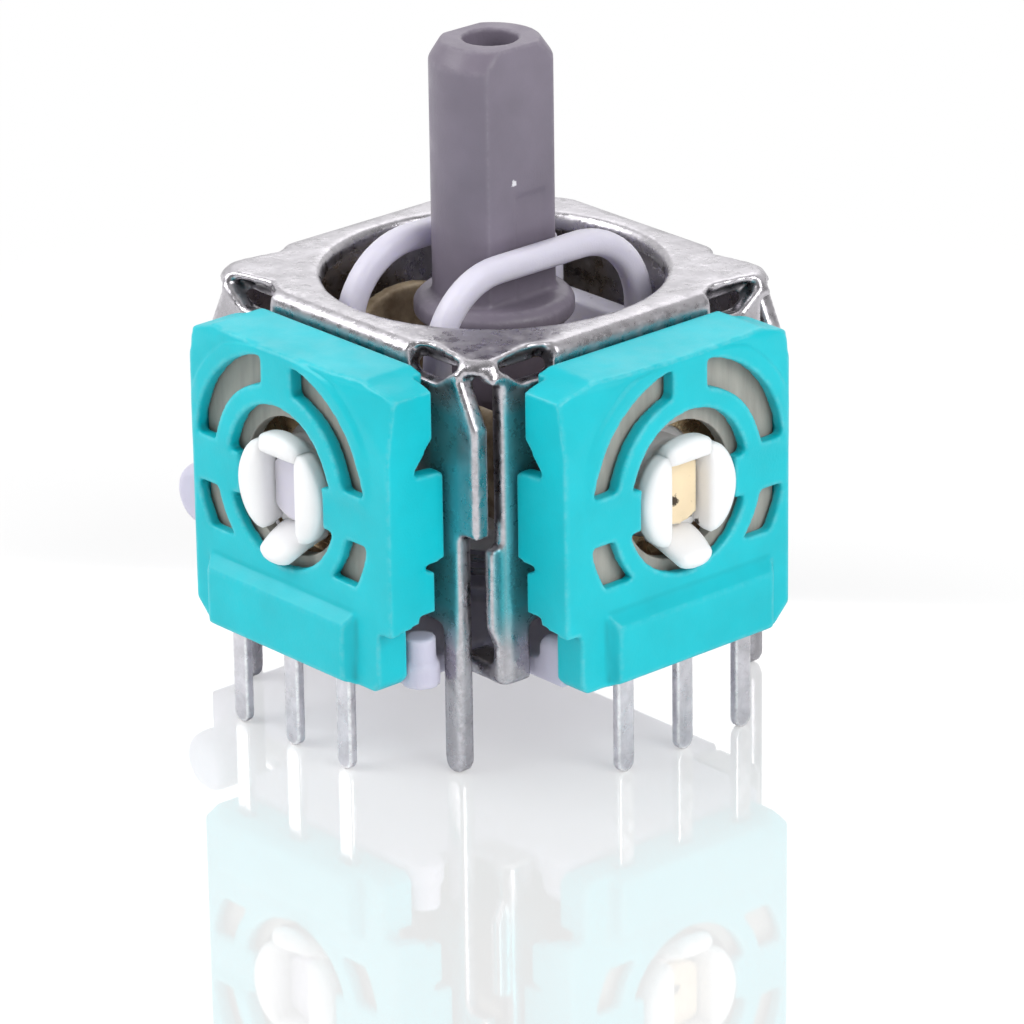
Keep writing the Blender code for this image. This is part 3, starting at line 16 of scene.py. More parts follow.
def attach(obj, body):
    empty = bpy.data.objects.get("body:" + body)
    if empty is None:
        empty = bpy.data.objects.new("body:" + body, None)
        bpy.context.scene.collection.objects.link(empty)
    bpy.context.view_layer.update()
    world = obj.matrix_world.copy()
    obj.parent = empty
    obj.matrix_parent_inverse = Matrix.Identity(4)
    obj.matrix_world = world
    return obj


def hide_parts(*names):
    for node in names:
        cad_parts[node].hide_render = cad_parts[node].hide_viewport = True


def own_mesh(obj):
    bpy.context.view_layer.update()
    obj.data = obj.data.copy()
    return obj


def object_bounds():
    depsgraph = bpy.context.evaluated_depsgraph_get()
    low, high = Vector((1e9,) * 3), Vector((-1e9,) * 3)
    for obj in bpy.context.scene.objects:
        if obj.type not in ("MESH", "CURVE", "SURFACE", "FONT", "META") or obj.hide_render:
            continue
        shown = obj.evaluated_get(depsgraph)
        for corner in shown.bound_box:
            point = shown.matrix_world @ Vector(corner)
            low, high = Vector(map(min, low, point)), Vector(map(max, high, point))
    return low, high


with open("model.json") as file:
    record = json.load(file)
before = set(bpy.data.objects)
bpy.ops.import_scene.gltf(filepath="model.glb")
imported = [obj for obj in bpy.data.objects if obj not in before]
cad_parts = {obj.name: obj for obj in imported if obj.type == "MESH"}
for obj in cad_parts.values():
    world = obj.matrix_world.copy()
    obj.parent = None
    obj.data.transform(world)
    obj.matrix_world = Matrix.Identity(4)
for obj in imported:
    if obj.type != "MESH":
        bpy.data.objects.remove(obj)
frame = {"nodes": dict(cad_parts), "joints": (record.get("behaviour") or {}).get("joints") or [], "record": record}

bl_info = {
    "name": "Analog Stick Finishes",
    "version": (1, 0, 0),
    "blender": (4, 5, 0),
    "location": "3D View > Sidebar > Stick",
    "description": "Finishes and fine shapes of a two-axis analog stick module",
    "category": "Object",
}

MM = 0.001
AXLE = Vector(frame["joints"][0]["pos_m"])
BODY_OF = {node: body for body, nodes in frame["record"]["behaviour"]["bodies"].items()
           for node in nodes}
SLOT_OF = {row["node"]: row["material_slot"] for row in frame["record"]["subparts"]}
CAD_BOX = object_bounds()

# For each pot: the axis across it, the axis its axle points along, and which way is out
DIRECTIONS = {"front": (0, 1, -1.0), "side": (1, 0, 1.0)}

# Doubles are merged within SEAM; edges steeper than EDGE_ANGLE are rounded on CAD copies
# and sharp beyond SMOOTH_ANGLE on new pieces; facets within FLAT_ANGLE are one face
SEAM = 1e-7
EDGE_ANGLE = math.radians(28.0)
SMOOTH_ANGLE = math.radians(40.0)
FLAT_ANGLE = math.radians(0.6)

# Crest wear with its painted highlight, and painted shade in hollows, start at this bend of the surface and are
# full after this much more
BEND_START = 0.02
BEND_SPAN = 0.06

QUARTER = np.pi / 2.0
WHITE = (1.0, 1.0, 1.0, 1.0)

# The photo's camera and two of its axes in the frame, and the side that mirrors see as white
SENSOR = 36.0
CAMERA_PLACE = (0.13999, -0.12346, 0.07770)
CAMERA_RIGHT = (0.6673, 0.7448, -0.0133)
CAMERA_BACK = (0.6941, -0.6151, 0.3740)
BEHIND = (-0.69, 0.62, 0.37)


# Sizes and colours that a user would change

def length(name, description, millimetres):
    """A length property."""
    return FloatProperty(name=name, description=description, default=millimetres * MM, unit="LENGTH")


def tone(name, description, colour):
    """A colour property."""
    return FloatVectorProperty(name=name, description=description, subtype="COLOR", size=3, default=colour)


class StageSettings(bpy.types.PropertyGroup):
    """Studio: floor, lamps and the photo's camera."""

    lens: FloatProperty(name="Lens", description="Focal length in millimetres", default=222.05)
    reach: length("Floor reach", "Half the floor's width", 3000.0)
    floor_colour: tone("Floor", "Floor colour", (0.9, 0.9, 0.9))
    mirror: FloatProperty(name="Mirror", description="Share of the floor's light that is reflection",
                          subtype="FACTOR", default=0.22, min=0.0, max=1.0)
    key: FloatProperty(name="Key lamp", description="Power of the front lamp", unit="POWER", default=2.5)
    fill: FloatProperty(name="Side lamps", description="Mean power of the other two", unit="POWER",
                        default=1.2)
    sky: FloatProperty(name="Sky", description="Strength of the even light from all round", default=0.5)
    dusk: FloatProperty(name="Dusk", description="How bright mirrors see the dark side of the studio",
                        subtype="FACTOR", default=0.3, min=0.0, max=1.0)
    clean: length("Clean floor", "Radius beyond which the floor is plain white to the eye", 45.0)


class FinishSettings(bpy.types.PropertyGroup):
    """Colours of the finishes."""

    teal: tone("Pot cover", "Teal moulding", (0.0, 0.50, 0.58))
    plate: tone("Plated sheet", "Tinned steel sheet", (0.44, 0.425, 0.45))
    lever: tone("Lever", "Mauve-grey moulding", (0.185, 0.16, 0.205))
    arch: tone("Upper yoke", "Milky lilac nylon", (0.64, 0.62, 0.72))
    yoke: tone("Lower yoke", "Cream nylon", (0.80, 0.66, 0.45))
    # Brown laid inside near the module's middle: grease stains and painted shade
    grease_and_shade: tone("Grease", "Brown grease inside", (0.20, 0.13, 0.07))
    rotor: tone("Rotor", "White acetal", (0.86, 0.86, 0.87))
    board: tone("Film board", "Grey-beige laminate", (0.37, 0.345, 0.31))
    floor_moulding: tone("Base", "Lilac-grey moulding", (0.58, 0.56, 0.68))


class ArchSettings(bpy.types.PropertyGroup):
    """Sizes of the upper yoke, measured from the axles."""

    rail_place: length("Rail place", "Middle of each rail, from the lever", 2.09)
    rail_half: length("Rail", "Half a rail's thickness", 0.425)
    top: length("Top", "Height of the crown", 6.42)
    reach: length("Reach", "Outer face of the legs", 4.65)
    flat: length("Flat", "Half the crown's straight length", 1.7)
    joint: length("Foot", "Height where rails and leg meet", 3.0)
    foot: length("Leg round", "Radius of the leg's lower end", 1.7)
    axle: length("Axle", "Axle radius", 1.1)
    axle_flat: length("Axle flat", "Half the axle's width over its flats", 0.72)


class RotorSettings(bpy.types.PropertyGroup):
    """Sizes of the rotors; depths are measured outwards from the frame's wall."""

    disc: length("Disc", "Disc radius", 3.2)
    disc_back: length("Disc back", "Depth of the disc's back", 0.35)
    disc_thick: length("Disc thickness", "Thickness of the disc", 0.3)
    neck: length("Neck", "Neck radius", 1.55)
    neck_end: length("Neck end", "Depth where the petals part", 1.7)
    lip: length("Lip", "Largest radius of the petals", 1.9)
    tip: length("Tip", "Depth of the petals' tips", 2.73)
    slot_half: length("Slot", "Half the slot's width", 0.8)
    slot_tall: length("Slot height", "Half the slot's height", 1.14)
    leaf_half: length("Leaf", "Half the lowest petal's width", 0.84)
    leaf_drop: length("Leaf drop", "How far down the lowest petal reaches", 2.22)


class PotSettings(bpy.types.PropertyGroup):
    """Changes to the CAD form of the pot covers and film boards."""

    lift: length("Window lift", "How far the openings' upper rims rise", 0.3)
    collar: length("Collar", "How far the face stands out round the openings", 0.1)
    thin: length("Thinner face", "How far the back of the face comes forward", 0.2)
    board_out: length("Board place", "How far the film boards come forward", 0.45)
    board_tall: FloatProperty(name="Board stretch", description="Growth of a board's upper half",
                              default=0.05)
    board_hole: FloatProperty(name="Board hole", description="Times by which a board's hole widens",
                              default=1.09)


class EdgeSettings(bpy.types.PropertyGroup):
    """How fine and how soft the edges are."""

    cover_step: length("Cover step", "Grid of the pot covers", 0.08)
    cover_rounds: IntProperty(name="Cover rounds", description="Times the covers are relaxed", default=5)
    lever_step: length("Lever step", "Grid of lever and lower yoke", 0.085)
    lever_rounds: IntProperty(name="Lever rounds", description="Times they are relaxed", default=5)
    sheet_step: length("Sheet step", "Grid of the stamped sheet", 0.107)
    sheet_rounds: IntProperty(name="Sheet rounds", description="Times the sheet is relaxed", default=3)
    base_step: length("Base step", "Grid of the base", 0.105)
    base_rounds: IntProperty(name="Base rounds", description="Times the base is relaxed", default=4)
    blade_step: length("Blade step", "Grid of the blades", 0.05)
    blade_rounds: IntProperty(name="Blade rounds", description="Times the blades are relaxed", default=3)
    small: length("Small edge", "Edge radius of the inner pieces", 0.05)


# Shader graphs

def graph(name):
    """An empty material with its Principled shader; returns material, tree and shader."""
    mat = bpy.data.materials.new(name)
    mat.use_nodes = True
    tree = mat.node_tree
    return mat, tree, tree.nodes["Principled BSDF"]


def coordinates(tree, scale=(1.0, 1.0, 1.0)):
    """Object coordinates in millimetres, stretched."""
    source = tree.nodes.new("ShaderNodeTexCoord")
    mapping = tree.nodes.new("ShaderNodeMapping")
    mapping.inputs["Scale"].default_value = [value / MM for value in scale]
    tree.links.new(source.outputs["Object"], mapping.inputs["Vector"])
    return mapping.outputs["Vector"]


def noise(tree, vector, scale, detail=4.0, rough=0.55, distort=0.0):
    """Cloudy noise; scale is in features per millimetre."""
    node = tree.nodes.new("ShaderNodeTexNoise")
    node.inputs["Scale"].default_value = scale
    node.inputs["Detail"].default_value = detail
    node.inputs["Roughness"].default_value = rough
    node.inputs["Distortion"].default_value = distort
    tree.links.new(vector, node.inputs["Vector"])
    return node.outputs["Fac"]


def remap(tree, value, low, high, out_low=0.0, out_high=1.0):
    """Map a value's range to another, clamped."""
    node = tree.nodes.new("ShaderNodeMapRange")
    node.inputs["From Min"].default_value = low
    node.inputs["From Max"].default_value = high
    node.inputs["To Min"].default_value = out_low
    node.inputs["To Max"].default_value = out_high
    tree.links.new(value, node.inputs["Value"])
    return node.outputs["Result"]


def blend_colours(tree, factor, first, second):
    """Mix two colours by a factor; either colour may be a socket."""
    node = tree.nodes.new("ShaderNodeMix")
    node.data_type = "RGBA"
    tree.links.new(factor, node.inputs["Factor"])
    for socket, colour in ((node.inputs["A"], first), (node.inputs["B"], second)):
        if isinstance(colour, bpy.types.NodeSocket):
            tree.links.new(colour, socket)
        else:
            socket.default_value = (*colour, 1.0)
    return node.outputs["Result"]


def bump(tree, shader, height, strength, depth, below=None):
    """Bump the shader's normal; depth is in metres. Returns the normal for another layer."""
    node = tree.nodes.new("ShaderNodeBump")
    node.inputs["Strength"].default_value = strength
    node.inputs["Distance"].default_value = depth
    tree.links.new(height, node.inputs["Height"])
    if below is not None:
        tree.links.new(below, node.inputs["Normal"])
    tree.links.new(node.outputs["Normal"], shader.inputs["Normal"])
    return node.outputs["Normal"]


def position(tree):
    """The place on the piece, in metres."""
    return tree.nodes.new("ShaderNodeTexCoord").outputs["Object"]


def compute(tree, operation, *values):
    """One Math node over sockets and numbers."""
    node = tree.nodes.new("ShaderNodeMath")
    node.operation = operation
    for socket, value in zip(node.inputs, values):
        if isinstance(value, bpy.types.NodeSocket):
            tree.links.new(value, socket)
        else:
            socket.default_value = value
    return node.outputs["Value"]


def multiply(tree, first, second):
    """The product of two values."""
    return compute(tree, "MULTIPLY", first, second)


def blend_values(tree, share, low, high):
    """low + share * (high - low)."""
    return compute(tree, "ADD", low, multiply(tree, share, compute(tree, "SUBTRACT", high, low)))


def band(tree, value, rise, fall):
    """One between two ramps, whose ends are given in millimetres, and nought outside them."""
    up = remap(tree, value, rise[0] * MM, rise[1] * MM)
    return multiply(tree, up, remap(tree, value, fall[0] * MM, fall[1] * MM, 1.0, 0.0))


def distance(tree, vector, spot):
    """Distance from a place."""
    node = tree.nodes.new("ShaderNodeVectorMath")
    node.operation = "DISTANCE"
    tree.links.new(vector, node.inputs[0])
    node.inputs[1].default_value = spot
    return node.outputs["Value"]


def attribute(tree, name):
    """A number that the mesh carries, nought where it carries none."""
    node = tree.nodes.new("ShaderNodeAttribute")
    node.attribute_name = name
    return node.outputs["Fac"]


def mix_shaders(tree, factor, first, second):
    """Blend two shaders."""
    node = tree.nodes.new("ShaderNodeMixShader")
    tree.links.new(factor, node.inputs["Fac"])
    tree.links.new(first, node.inputs[1])
    tree.links.new(second, node.inputs[2])
    return node.outputs["Shader"]


def lay_over(mat, share, colour):
    """Mix a colour over a material's own by a share."""
    tree = mat.node_tree
    socket = tree.nodes["Principled BSDF"].inputs["Base Color"]
    tree.links.new(blend_colours(tree, share, socket.links[0].from_socket, colour), socket)
    return mat


def spots(tree, places):
    """One inside any of the (place, radius) spots, with ragged edges, and nought outside."""
    here = position(tree)
    ragged = remap(tree, noise(tree, coordinates(tree), 9.0, 4.0), 0.3, 0.7, 0.6, 1.5)
    total = None
    for place, radius in places:
        away = multiply(tree, distance(tree, here, place), ragged)
        inside = remap(tree, away, 0.6 * radius, radius, 1.0, 0.0)
        total = inside if total is None else compute(tree, "MAXIMUM", total, inside)
    return total


def shade(colour, factor):
    """A colour made darker or lighter."""
    return tuple(min(1.0, channel * factor) for channel in colour)


def scuff_and_highlight_colour(colour):
    """The colour of a scuffed edge with its painted highlight, nearer to white."""
    return tuple(0.65 * channel + 0.35 for channel in colour)


def moulded(name, colour, rough, cloud, glow=0.0, glow_reach=(0.4, 0.4, 0.4), stain=None):
    """Injection-moulded plastic: faint flow clouds, spark-eroded grain and soft roughness changes.

    Crests are scuffed and painted pale as a highlight, and grooves get painted shade; glow lets light through, and
    stain lays specks on it.
    """
    mat, tree, shader = graph(name)
    place = coordinates(tree)
    clouds = remap(tree, noise(tree, place, 0.45, 3.0), 0.3, 0.7)
    tint = blend_colours(tree, clouds, shade(colour, 1.0 - cloud), shade(colour, 1.0 + cloud))
    # Pale crests: scuffs and a painted highlight; dark grooves: painted shade
    rub_and_highlight = remap(tree, noise(tree, place, 3.0, 5.0, 0.65), 0.4, 0.65, 0.04, 0.22)
    tint = blend_colours(tree, multiply(tree, attribute(tree, "wear_and_highlight"), rub_and_highlight), tint, scuff_and_highlight_colour(colour))
    tint = blend_colours(tree, multiply(tree, attribute(tree, "hollow_shade"), 0.4), tint, shade(colour, 0.45))
    if stain is not None:
        specks = noise(tree, place, 2.6, 6.0, 0.7, 0.6)
        tint = blend_colours(tree, remap(tree, specks, 0.62, 0.74, 0.0, 0.55), tint, stain)
    tree.links.new(tint, shader.inputs["Base Color"])
    smear = remap(tree, noise(tree, place, 1.3, 5.0), 0.3, 0.7, rough - 0.07, rough + 0.08)
    tree.links.new(smear, shader.inputs["Roughness"])
    first = bump(tree, shader, noise(tree, place, 14.0, 3.0), 0.35, 0.02 * MM)
    bump(tree, shader, noise(tree, place, 0.7, 2.0), 0.25, 0.12 * MM, first)
    if glow > 0.0:
        shader.inputs["Subsurface Weight"].default_value = glow
        shader.inputs["Subsurface Radius"].default_value = glow_reach
        shader.inputs["Subsurface Scale"].default_value = MM
    shader.inputs["IOR"].default_value = 1.4
    return mat


def brown_stain_and_inner_shade(mat, colour):
    """Lay brown over a moulding near the module's middle, grease stains and painted shade inside, thinning out
    towards the axle's end.
    """
    tree = mat.node_tree
    full_to = 5.5 * MM
    none_from = 7.5 * MM
    # Brown darkest near the middle: grease stains and painted shade of the module's inside
    reach = remap(tree, distance(tree, position(tree), AXLE), full_to, none_from, 0.85, 0.0)
    patchy = remap(tree, noise(tree, coordinates(tree), 1.1, 5.0, 0.6), 0.3, 0.6, 0.35, 1.0)
    lay_over(mat, multiply(tree, reach, patchy), colour)
    speck = (bounds_of("lower_yoke")[1].x, -0.25 * MM, AXLE.z - 0.25 * MM)
    return specked(mat, [(speck, 0.2 * MM)], shade(colour, 0.25))


def specked(mat, places, colour):
    """Small ragged marks of one colour at places on a piece."""
    return lay_over(mat, spots(mat.node_tree, places), colour)


def lever_nicks_and_glints():
    """Two nicks painted pale as highlights: on the right flat and on the left edge."""
    flat = bounds_of("stick")[1].z - 4.4 * MM
    right = (1.37 * MM, -0.3 * MM, flat)
    left = (-1.3 * MM, -1.45 * MM, flat + 2.1 * MM)
    return [(right, 0.11 * MM), (left, 0.12 * MM)]


def rotor_marks():
    """Near-black spots where the petals leave the neck, below the slot's corners of both rotors."""
    roots = np.array([(0.8, -1.25, 1.9), (-0.85, -1.5, 1.85)]) * MM
    return [(tuple(float(value) for value in root), 0.14 * MM)
            for side in DIRECTIONS for root in turn_pot(roots, side)]


def plated(name, colour, rough, stretch=(1.0, 1.0, 1.0), wear=0.5):
    """Tinned sheet: crystal clouds, fine rolled grain, dull spots and dark handling marks."""
    mat, tree, shader = graph(name)
    place = coordinates(tree)
    clouds = remap(tree, noise(tree, place, 1.1, 6.0, 0.65, 0.4), 0.32, 0.68)
    tint = blend_colours(tree, clouds, shade(colour, 0.78), shade(colour, 1.12))
    marks = noise(tree, place, 3.4, 8.0, 0.72, 1.2)
    tint = blend_colours(tree, remap(tree, marks, 0.58, 0.72, 0.0, wear), tint, shade(colour, 0.38))
    # Bright crests: rubbed wear and a painted highlight; dark hollows: painted shade
    scuff_and_glint = remap(tree, noise(tree, place, 5.0, 6.0, 0.7), 0.35, 0.65, 0.0, 0.8)
    tint = blend_colours(tree, multiply(tree, attribute(tree, "wear_and_highlight"), scuff_and_glint), tint, shade(colour, 1.5))
    tint = blend_colours(tree, multiply(tree, attribute(tree, "hollow_shade"), 0.8), tint, shade(colour, 0.2))
    tree.links.new(tint, shader.inputs["Base Color"])
    dull = remap(tree, noise(tree, place, 2.2, 6.0, 0.6), 0.3, 0.7, rough - 0.1, rough + 0.2)
    tree.links.new(dull, shader.inputs["Roughness"])
    first = bump(tree, shader, noise(tree, coordinates(tree, stretch), 9.0, 5.0), 0.5, 0.012 * MM)
    bump(tree, shader, noise(tree, place, 1.6, 3.0), 0.35, 0.09 * MM, first)
    shader.inputs["Metallic"].default_value = 1.0
    return mat


def painted_cover_reflection(mat, colour):
    """Paint the covers' reflection, in their colour, on the frame's wall strips at the front corner, which stand
    beside them: a painted reflection.

    The strips are where the smaller of x and -y is about 4 to 6 mm, the larger is at the wall
    and the surface faces outwards. The painted reflection thins out towards the wall's foot and top.
    """
    tree = mat.node_tree
    shader = tree.nodes["Principled BSDF"]
    parts = tree.nodes.new("ShaderNodeSeparateXYZ")
    tree.links.new(position(tree), parts.inputs[0])
    across = parts.outputs["X"]
    depth = multiply(tree, parts.outputs["Y"], -1.0)
    low = compute(tree, "MINIMUM", across, depth)
    high = compute(tree, "MAXIMUM", across, depth)
    leans = tree.nodes.new("ShaderNodeSeparateXYZ")
    tree.links.new(tree.nodes.new("ShaderNodeTexCoord").outputs["Normal"], leans.inputs[0])
    on_side = compute(tree, "GREATER_THAN", across, depth)
    facing = blend_values(tree, on_side, multiply(tree, leans.outputs["Y"], -1.0), leans.outputs["X"])
    inside = multiply(tree, band(tree, low, (3.6, 4.4), (5.5, 6.2)), remap(tree, facing, 0.6, 0.9))
    inside = multiply(tree, inside, remap(tree, high, 6.1 * MM, 6.3 * MM))
    inside = multiply(tree, inside, band(tree, parts.outputs["Z"], (1.2, 2.6), (8.9, 9.9)))
    # Share of the painted reflection; the metal is made less metallic under it
    share = multiply(tree, inside, 0.8)
    tree.links.new(remap(tree, share, 0.0, 1.0, 1.0, 0.45), shader.inputs["Metallic"])
    return lay_over(mat, share, colour)


def laminate(name, colour):
    """Film board: matt carbon print with drawn streaks and dark specks."""
    mat, tree, shader = graph(name)
    place = coordinates(tree)
    streaks = noise(tree, coordinates(tree, (1.0, 1.0, 0.12)), 2.6, 5.0, 0.6)
    tint = blend_colours(tree, remap(tree, streaks, 0.32, 0.68), shade(colour, 0.86), shade(colour, 1.14))
    specks = noise(tree, place, 5.0, 5.0, 0.7)
    tint = blend_colours(tree, remap(tree, specks, 0.64, 0.76, 0.0, 0.6), tint, shade(colour, 0.45))
    tree.links.new(tint, shader.inputs["Base Color"])
    first = bump(tree, shader, streaks, 0.3, 0.02 * MM)
    bump(tree, shader, noise(tree, place, 11.0, 3.0), 0.3, 0.02 * MM, first)
    shader.inputs["Roughness"].default_value = 0.55
    return mat


def finish_table():
    """The finish of each material slot."""
    tones = bpy.context.scene.stick_finish
    sheet = plated("plated_sheet", tones.plate, 0.26)
    lever = moulded("mauve_grey_plastic", tones.lever, 0.42, 0.1)
    yoke = moulded("cream_nylon", tones.yoke, 0.4, 0.12, glow=0.35, stain=(0.2, 0.12, 0.05))
    rotor = moulded("white_acetal", tones.rotor, 0.36, 0.03, glow=0.4, glow_reach=(0.6, 0.6, 0.6))
    return {
        # Painted reflection of the teal covers on the frame's walls beside them
        "plated_sheet": painted_cover_reflection(sheet, shade(tones.teal, 0.8)),
        "tinned_blade": plated("tinned_blade", shade(tones.plate, 1.6), 0.3, (1.0, 1.0, 0.15), 0.35),
        "spring_steel": plated("spring_steel", (0.55, 0.55, 0.57), 0.22, wear=0.2),
        "contact_alloy": plated("contact_alloy", (0.72, 0.5, 0.3), 0.25, wear=0.2),
        "teal_plastic": moulded("teal_plastic", tones.teal, 0.4, 0.06, glow=0.12, glow_reach=(0.1, 0.5, 0.5)),
        # Pale nicks on the lever, painted bright as highlights
        "mauve_grey_plastic": specked(lever, lever_nicks_and_glints(), (0.75, 0.73, 0.78)),
        "lilac_nylon": moulded("lilac_nylon", tones.arch, 0.34, 0.05, glow=0.6, glow_reach=(0.8, 0.8, 1.0)),
        "cream_nylon": brown_stain_and_inner_shade(yoke, tones.grease_and_shade),
        "white_acetal": specked(rotor, rotor_marks(), (0.05, 0.04, 0.03)),
        "grey_beige_board": laminate("grey_beige_board", tones.board),
        "lilac_grey_plastic": moulded("lilac_grey_plastic", tones.floor_moulding, 0.42, 0.06, glow=0.3),
        "black_plastic": moulded("black_plastic", (0.022, 0.022, 0.024), 0.45, 0.1),
    }


FINISHES = {}


def finish_of(slot):
    """The finish of a slot, made on first use."""
    if not FINISHES:
        FINISHES.update(finish_table())
    return FINISHES[slot]


# Meshes

def link(name, mesh):
    """An object of a mesh, in the scene."""
    thing = bpy.data.objects.new(name, mesh)
    bpy.context.scene.collection.objects.link(thing)
    return thing


def places_of(mesh):
    """The vertices' places, one row each."""
    places = np.empty(3 * len(mesh.vertices))
    mesh.vertices.foreach_get("co", places)
    return places.reshape(-1, 3)


def move_to(mesh, places):
    """Put the vertices at new places."""
    mesh.vertices.foreach_set("co", places.ravel())
    mesh.update()


def grid_mesh(name, points, wrap=True):
    """A mesh of quads from a grid of points, an array of rows by columns by 3.

    Vertex (i, j) has index i * columns + j; each quad joins (i, j), (i, j + 1),
    (i + 1, j + 1) and (i + 1, j). The last column joins the first where wrap is true.
    """
    rows, columns = points.shape[:2]
    i = columns * np.arange(rows - 1)[:, None]
    j = np.arange(columns if wrap else columns - 1)[None, :]
    j_next = (j + 1) % columns
    quads = np.stack([i + j, i + j_next, i + columns + j_next, i + columns + j], axis=-1)
    mesh = bpy.data.meshes.new(name)
    mesh.from_pydata(points.reshape(-1, 3).tolist(), [], quads.reshape(-1, 4).tolist())
    return mesh


def join(name, grids):
    """One piece from several grids, each a closed shell once its seams and poles are merged."""
    bm = bmesh.new()
    for points in grids:
        shell = grid_mesh(name, points)
        bm.from_mesh(shell)
        bpy.data.meshes.remove(shell)
    bmesh.ops.remove_doubles(bm, verts=bm.verts, dist=SEAM)
    bmesh.ops.recalc_face_normals(bm, faces=bm.faces)
    mesh = bpy.data.meshes.new(name)
    bm.to_mesh(mesh)
    bm.free()
    mesh.shade_smooth()
    mesh.set_sharp_from_angle(angle=SMOOTH_ANGLE)
    return link(name, mesh)


def smooth_step(low, high, value):
    """Nought below low, one above high, and 3t^2 - 2t^3 between them."""
    share = np.clip((value - low) / (high - low), 0.0, 1.0)
    return share * share * (3.0 - 2.0 * share)


def oval(count, across, along, power=2.0):
    """A closed superellipse: (across |cos|^(2/n), along |sin|^(2/n)), each with its sign."""
    turn = np.linspace(0.0, 2.0 * np.pi, count, endpoint=False)
    cosine, sine = np.cos(turn), np.sin(turn)
    return np.stack([across * np.sign(cosine) * np.abs(cosine) ** (2.0 / power),
                     along * np.sign(sine) * np.abs(sine) ** (2.0 / power)], axis=-1)


def capped(points, ways):
    """Round off a tube's two ends, which point in two ways.

    points is a grid of rows by columns by 3. Before the first row and after the last,
    rows shrink to the row's centre as cos(t) while they move on by sin(t) times the
    tube's half thickness, for t from 0 to 90 degrees.
    """
    t = np.linspace(0.0, QUARTER, 6)[1:, None, None]
    ends = []
    for row, way in ((points[0], ways[0]), (points[-1], ways[1])):
        middle = row.mean(axis=0)
        half = np.linalg.norm(row - middle, axis=1).min()
        ends.append(middle + (row - middle) * np.cos(t) + np.asarray(way) * half * np.sin(t))
    return np.concatenate([ends[0][::-1], points, ends[1]])


def carry(path, side, section):
    """A tube and the ways its ends point.

    At each point of the path, section[:, 0] runs along side and section[:, 1] along the
    cross product of side and the path's direction.
    """
    along = np.gradient(path, axis=0)
    along /= np.linalg.norm(along, axis=1, keepdims=True)
    side = np.broadcast_to(np.asarray(side, dtype=float), along.shape)
    up = np.cross(side, along)
    tube = (path[:, None, :] + section[None, :, 0, None] * side[:, None, :]
            + section[None, :, 1, None] * up[:, None, :])
    return tube, (-along[0], along[-1])


def merged(node):
    """A CAD node's mesh to work on, with its doubles merged."""
    bm = bmesh.new()
    bm.from_mesh(frame["nodes"][node].data)
    bmesh.ops.remove_doubles(bm, verts=bm.verts, dist=SEAM)
    return bm


def rounded_copy(node, radius, segments=3):
    """A copy of a CAD node with its edges rounded by a Bevel modifier."""
    bm = merged(node)
    bmesh.ops.dissolve_limit(bm, angle_limit=FLAT_ANGLE, verts=bm.verts, edges=bm.edges)
    mesh = bpy.data.meshes.new(f"{node}_finished")
    bm.to_mesh(mesh)
    bm.free()
    mesh.materials.clear()
    mesh.shade_smooth()
    mesh.set_sharp_from_angle(angle=EDGE_ANGLE)
    thing = link(f"{node}_finished", mesh)
    edge = thing.modifiers.new("edges", "BEVEL")
    edge.width = radius
    edge.segments = segments
    edge.limit_method = "ANGLE"
    edge.angle_limit = EDGE_ANGLE
    edge.harden_normals = True
    edge.use_clamp_overlap = True
    return thing


def mark_wear_highlight_and_shade(mesh, step):
    """Write two attributes, nought to one, from how the surface bends: crest wear with a painted highlight, and
    painted shade in hollows.

    The bend at a vertex is (mean of its neighbours - its place) . normal / step,
    below nought on crests, which wear and get a painted highlight, and above nought
    in grooves, which get painted shade. It is averaged once with the neighbours.
    Both marks rise from BEND_START on, over BEND_SPAN.
    """
    places = places_of(mesh)
    count = len(places)
    normals = np.empty(3 * count)
    pairs = np.empty(2 * len(mesh.edges), dtype=np.int64)
    mesh.vertex_normals.foreach_get("vector", normals)
    mesh.edges.foreach_get("vertices", pairs)
    pairs = pairs.reshape(-1, 2)
    ends = np.concatenate([pairs, pairs[:, ::-1]])
    near = np.maximum(np.bincount(ends[:, 0], minlength=count), 1)

    def mean_of(values):
        """The mean of each vertex's neighbours."""
        return np.bincount(ends[:, 0], weights=values[ends[:, 1]], minlength=count) / near

    drift = np.stack([mean_of(places[:, axis]) for axis in range(3)], axis=-1) - places
    bend = (drift * normals.reshape(-1, 3)).sum(axis=1) / step
    bend = 0.5 * bend + 0.5 * mean_of(bend)
    # Crests: wear and painted highlight; grooves: painted shade
    for name, values in (("wear_and_highlight", -bend), ("hollow_shade", bend)):
        layer = mesh.attributes.new(name, "FLOAT", "POINT")
        share = np.clip((values - BEND_START) / BEND_SPAN, 0.0, 1.0)
        layer.data.foreach_set("value", share.astype(np.float32))


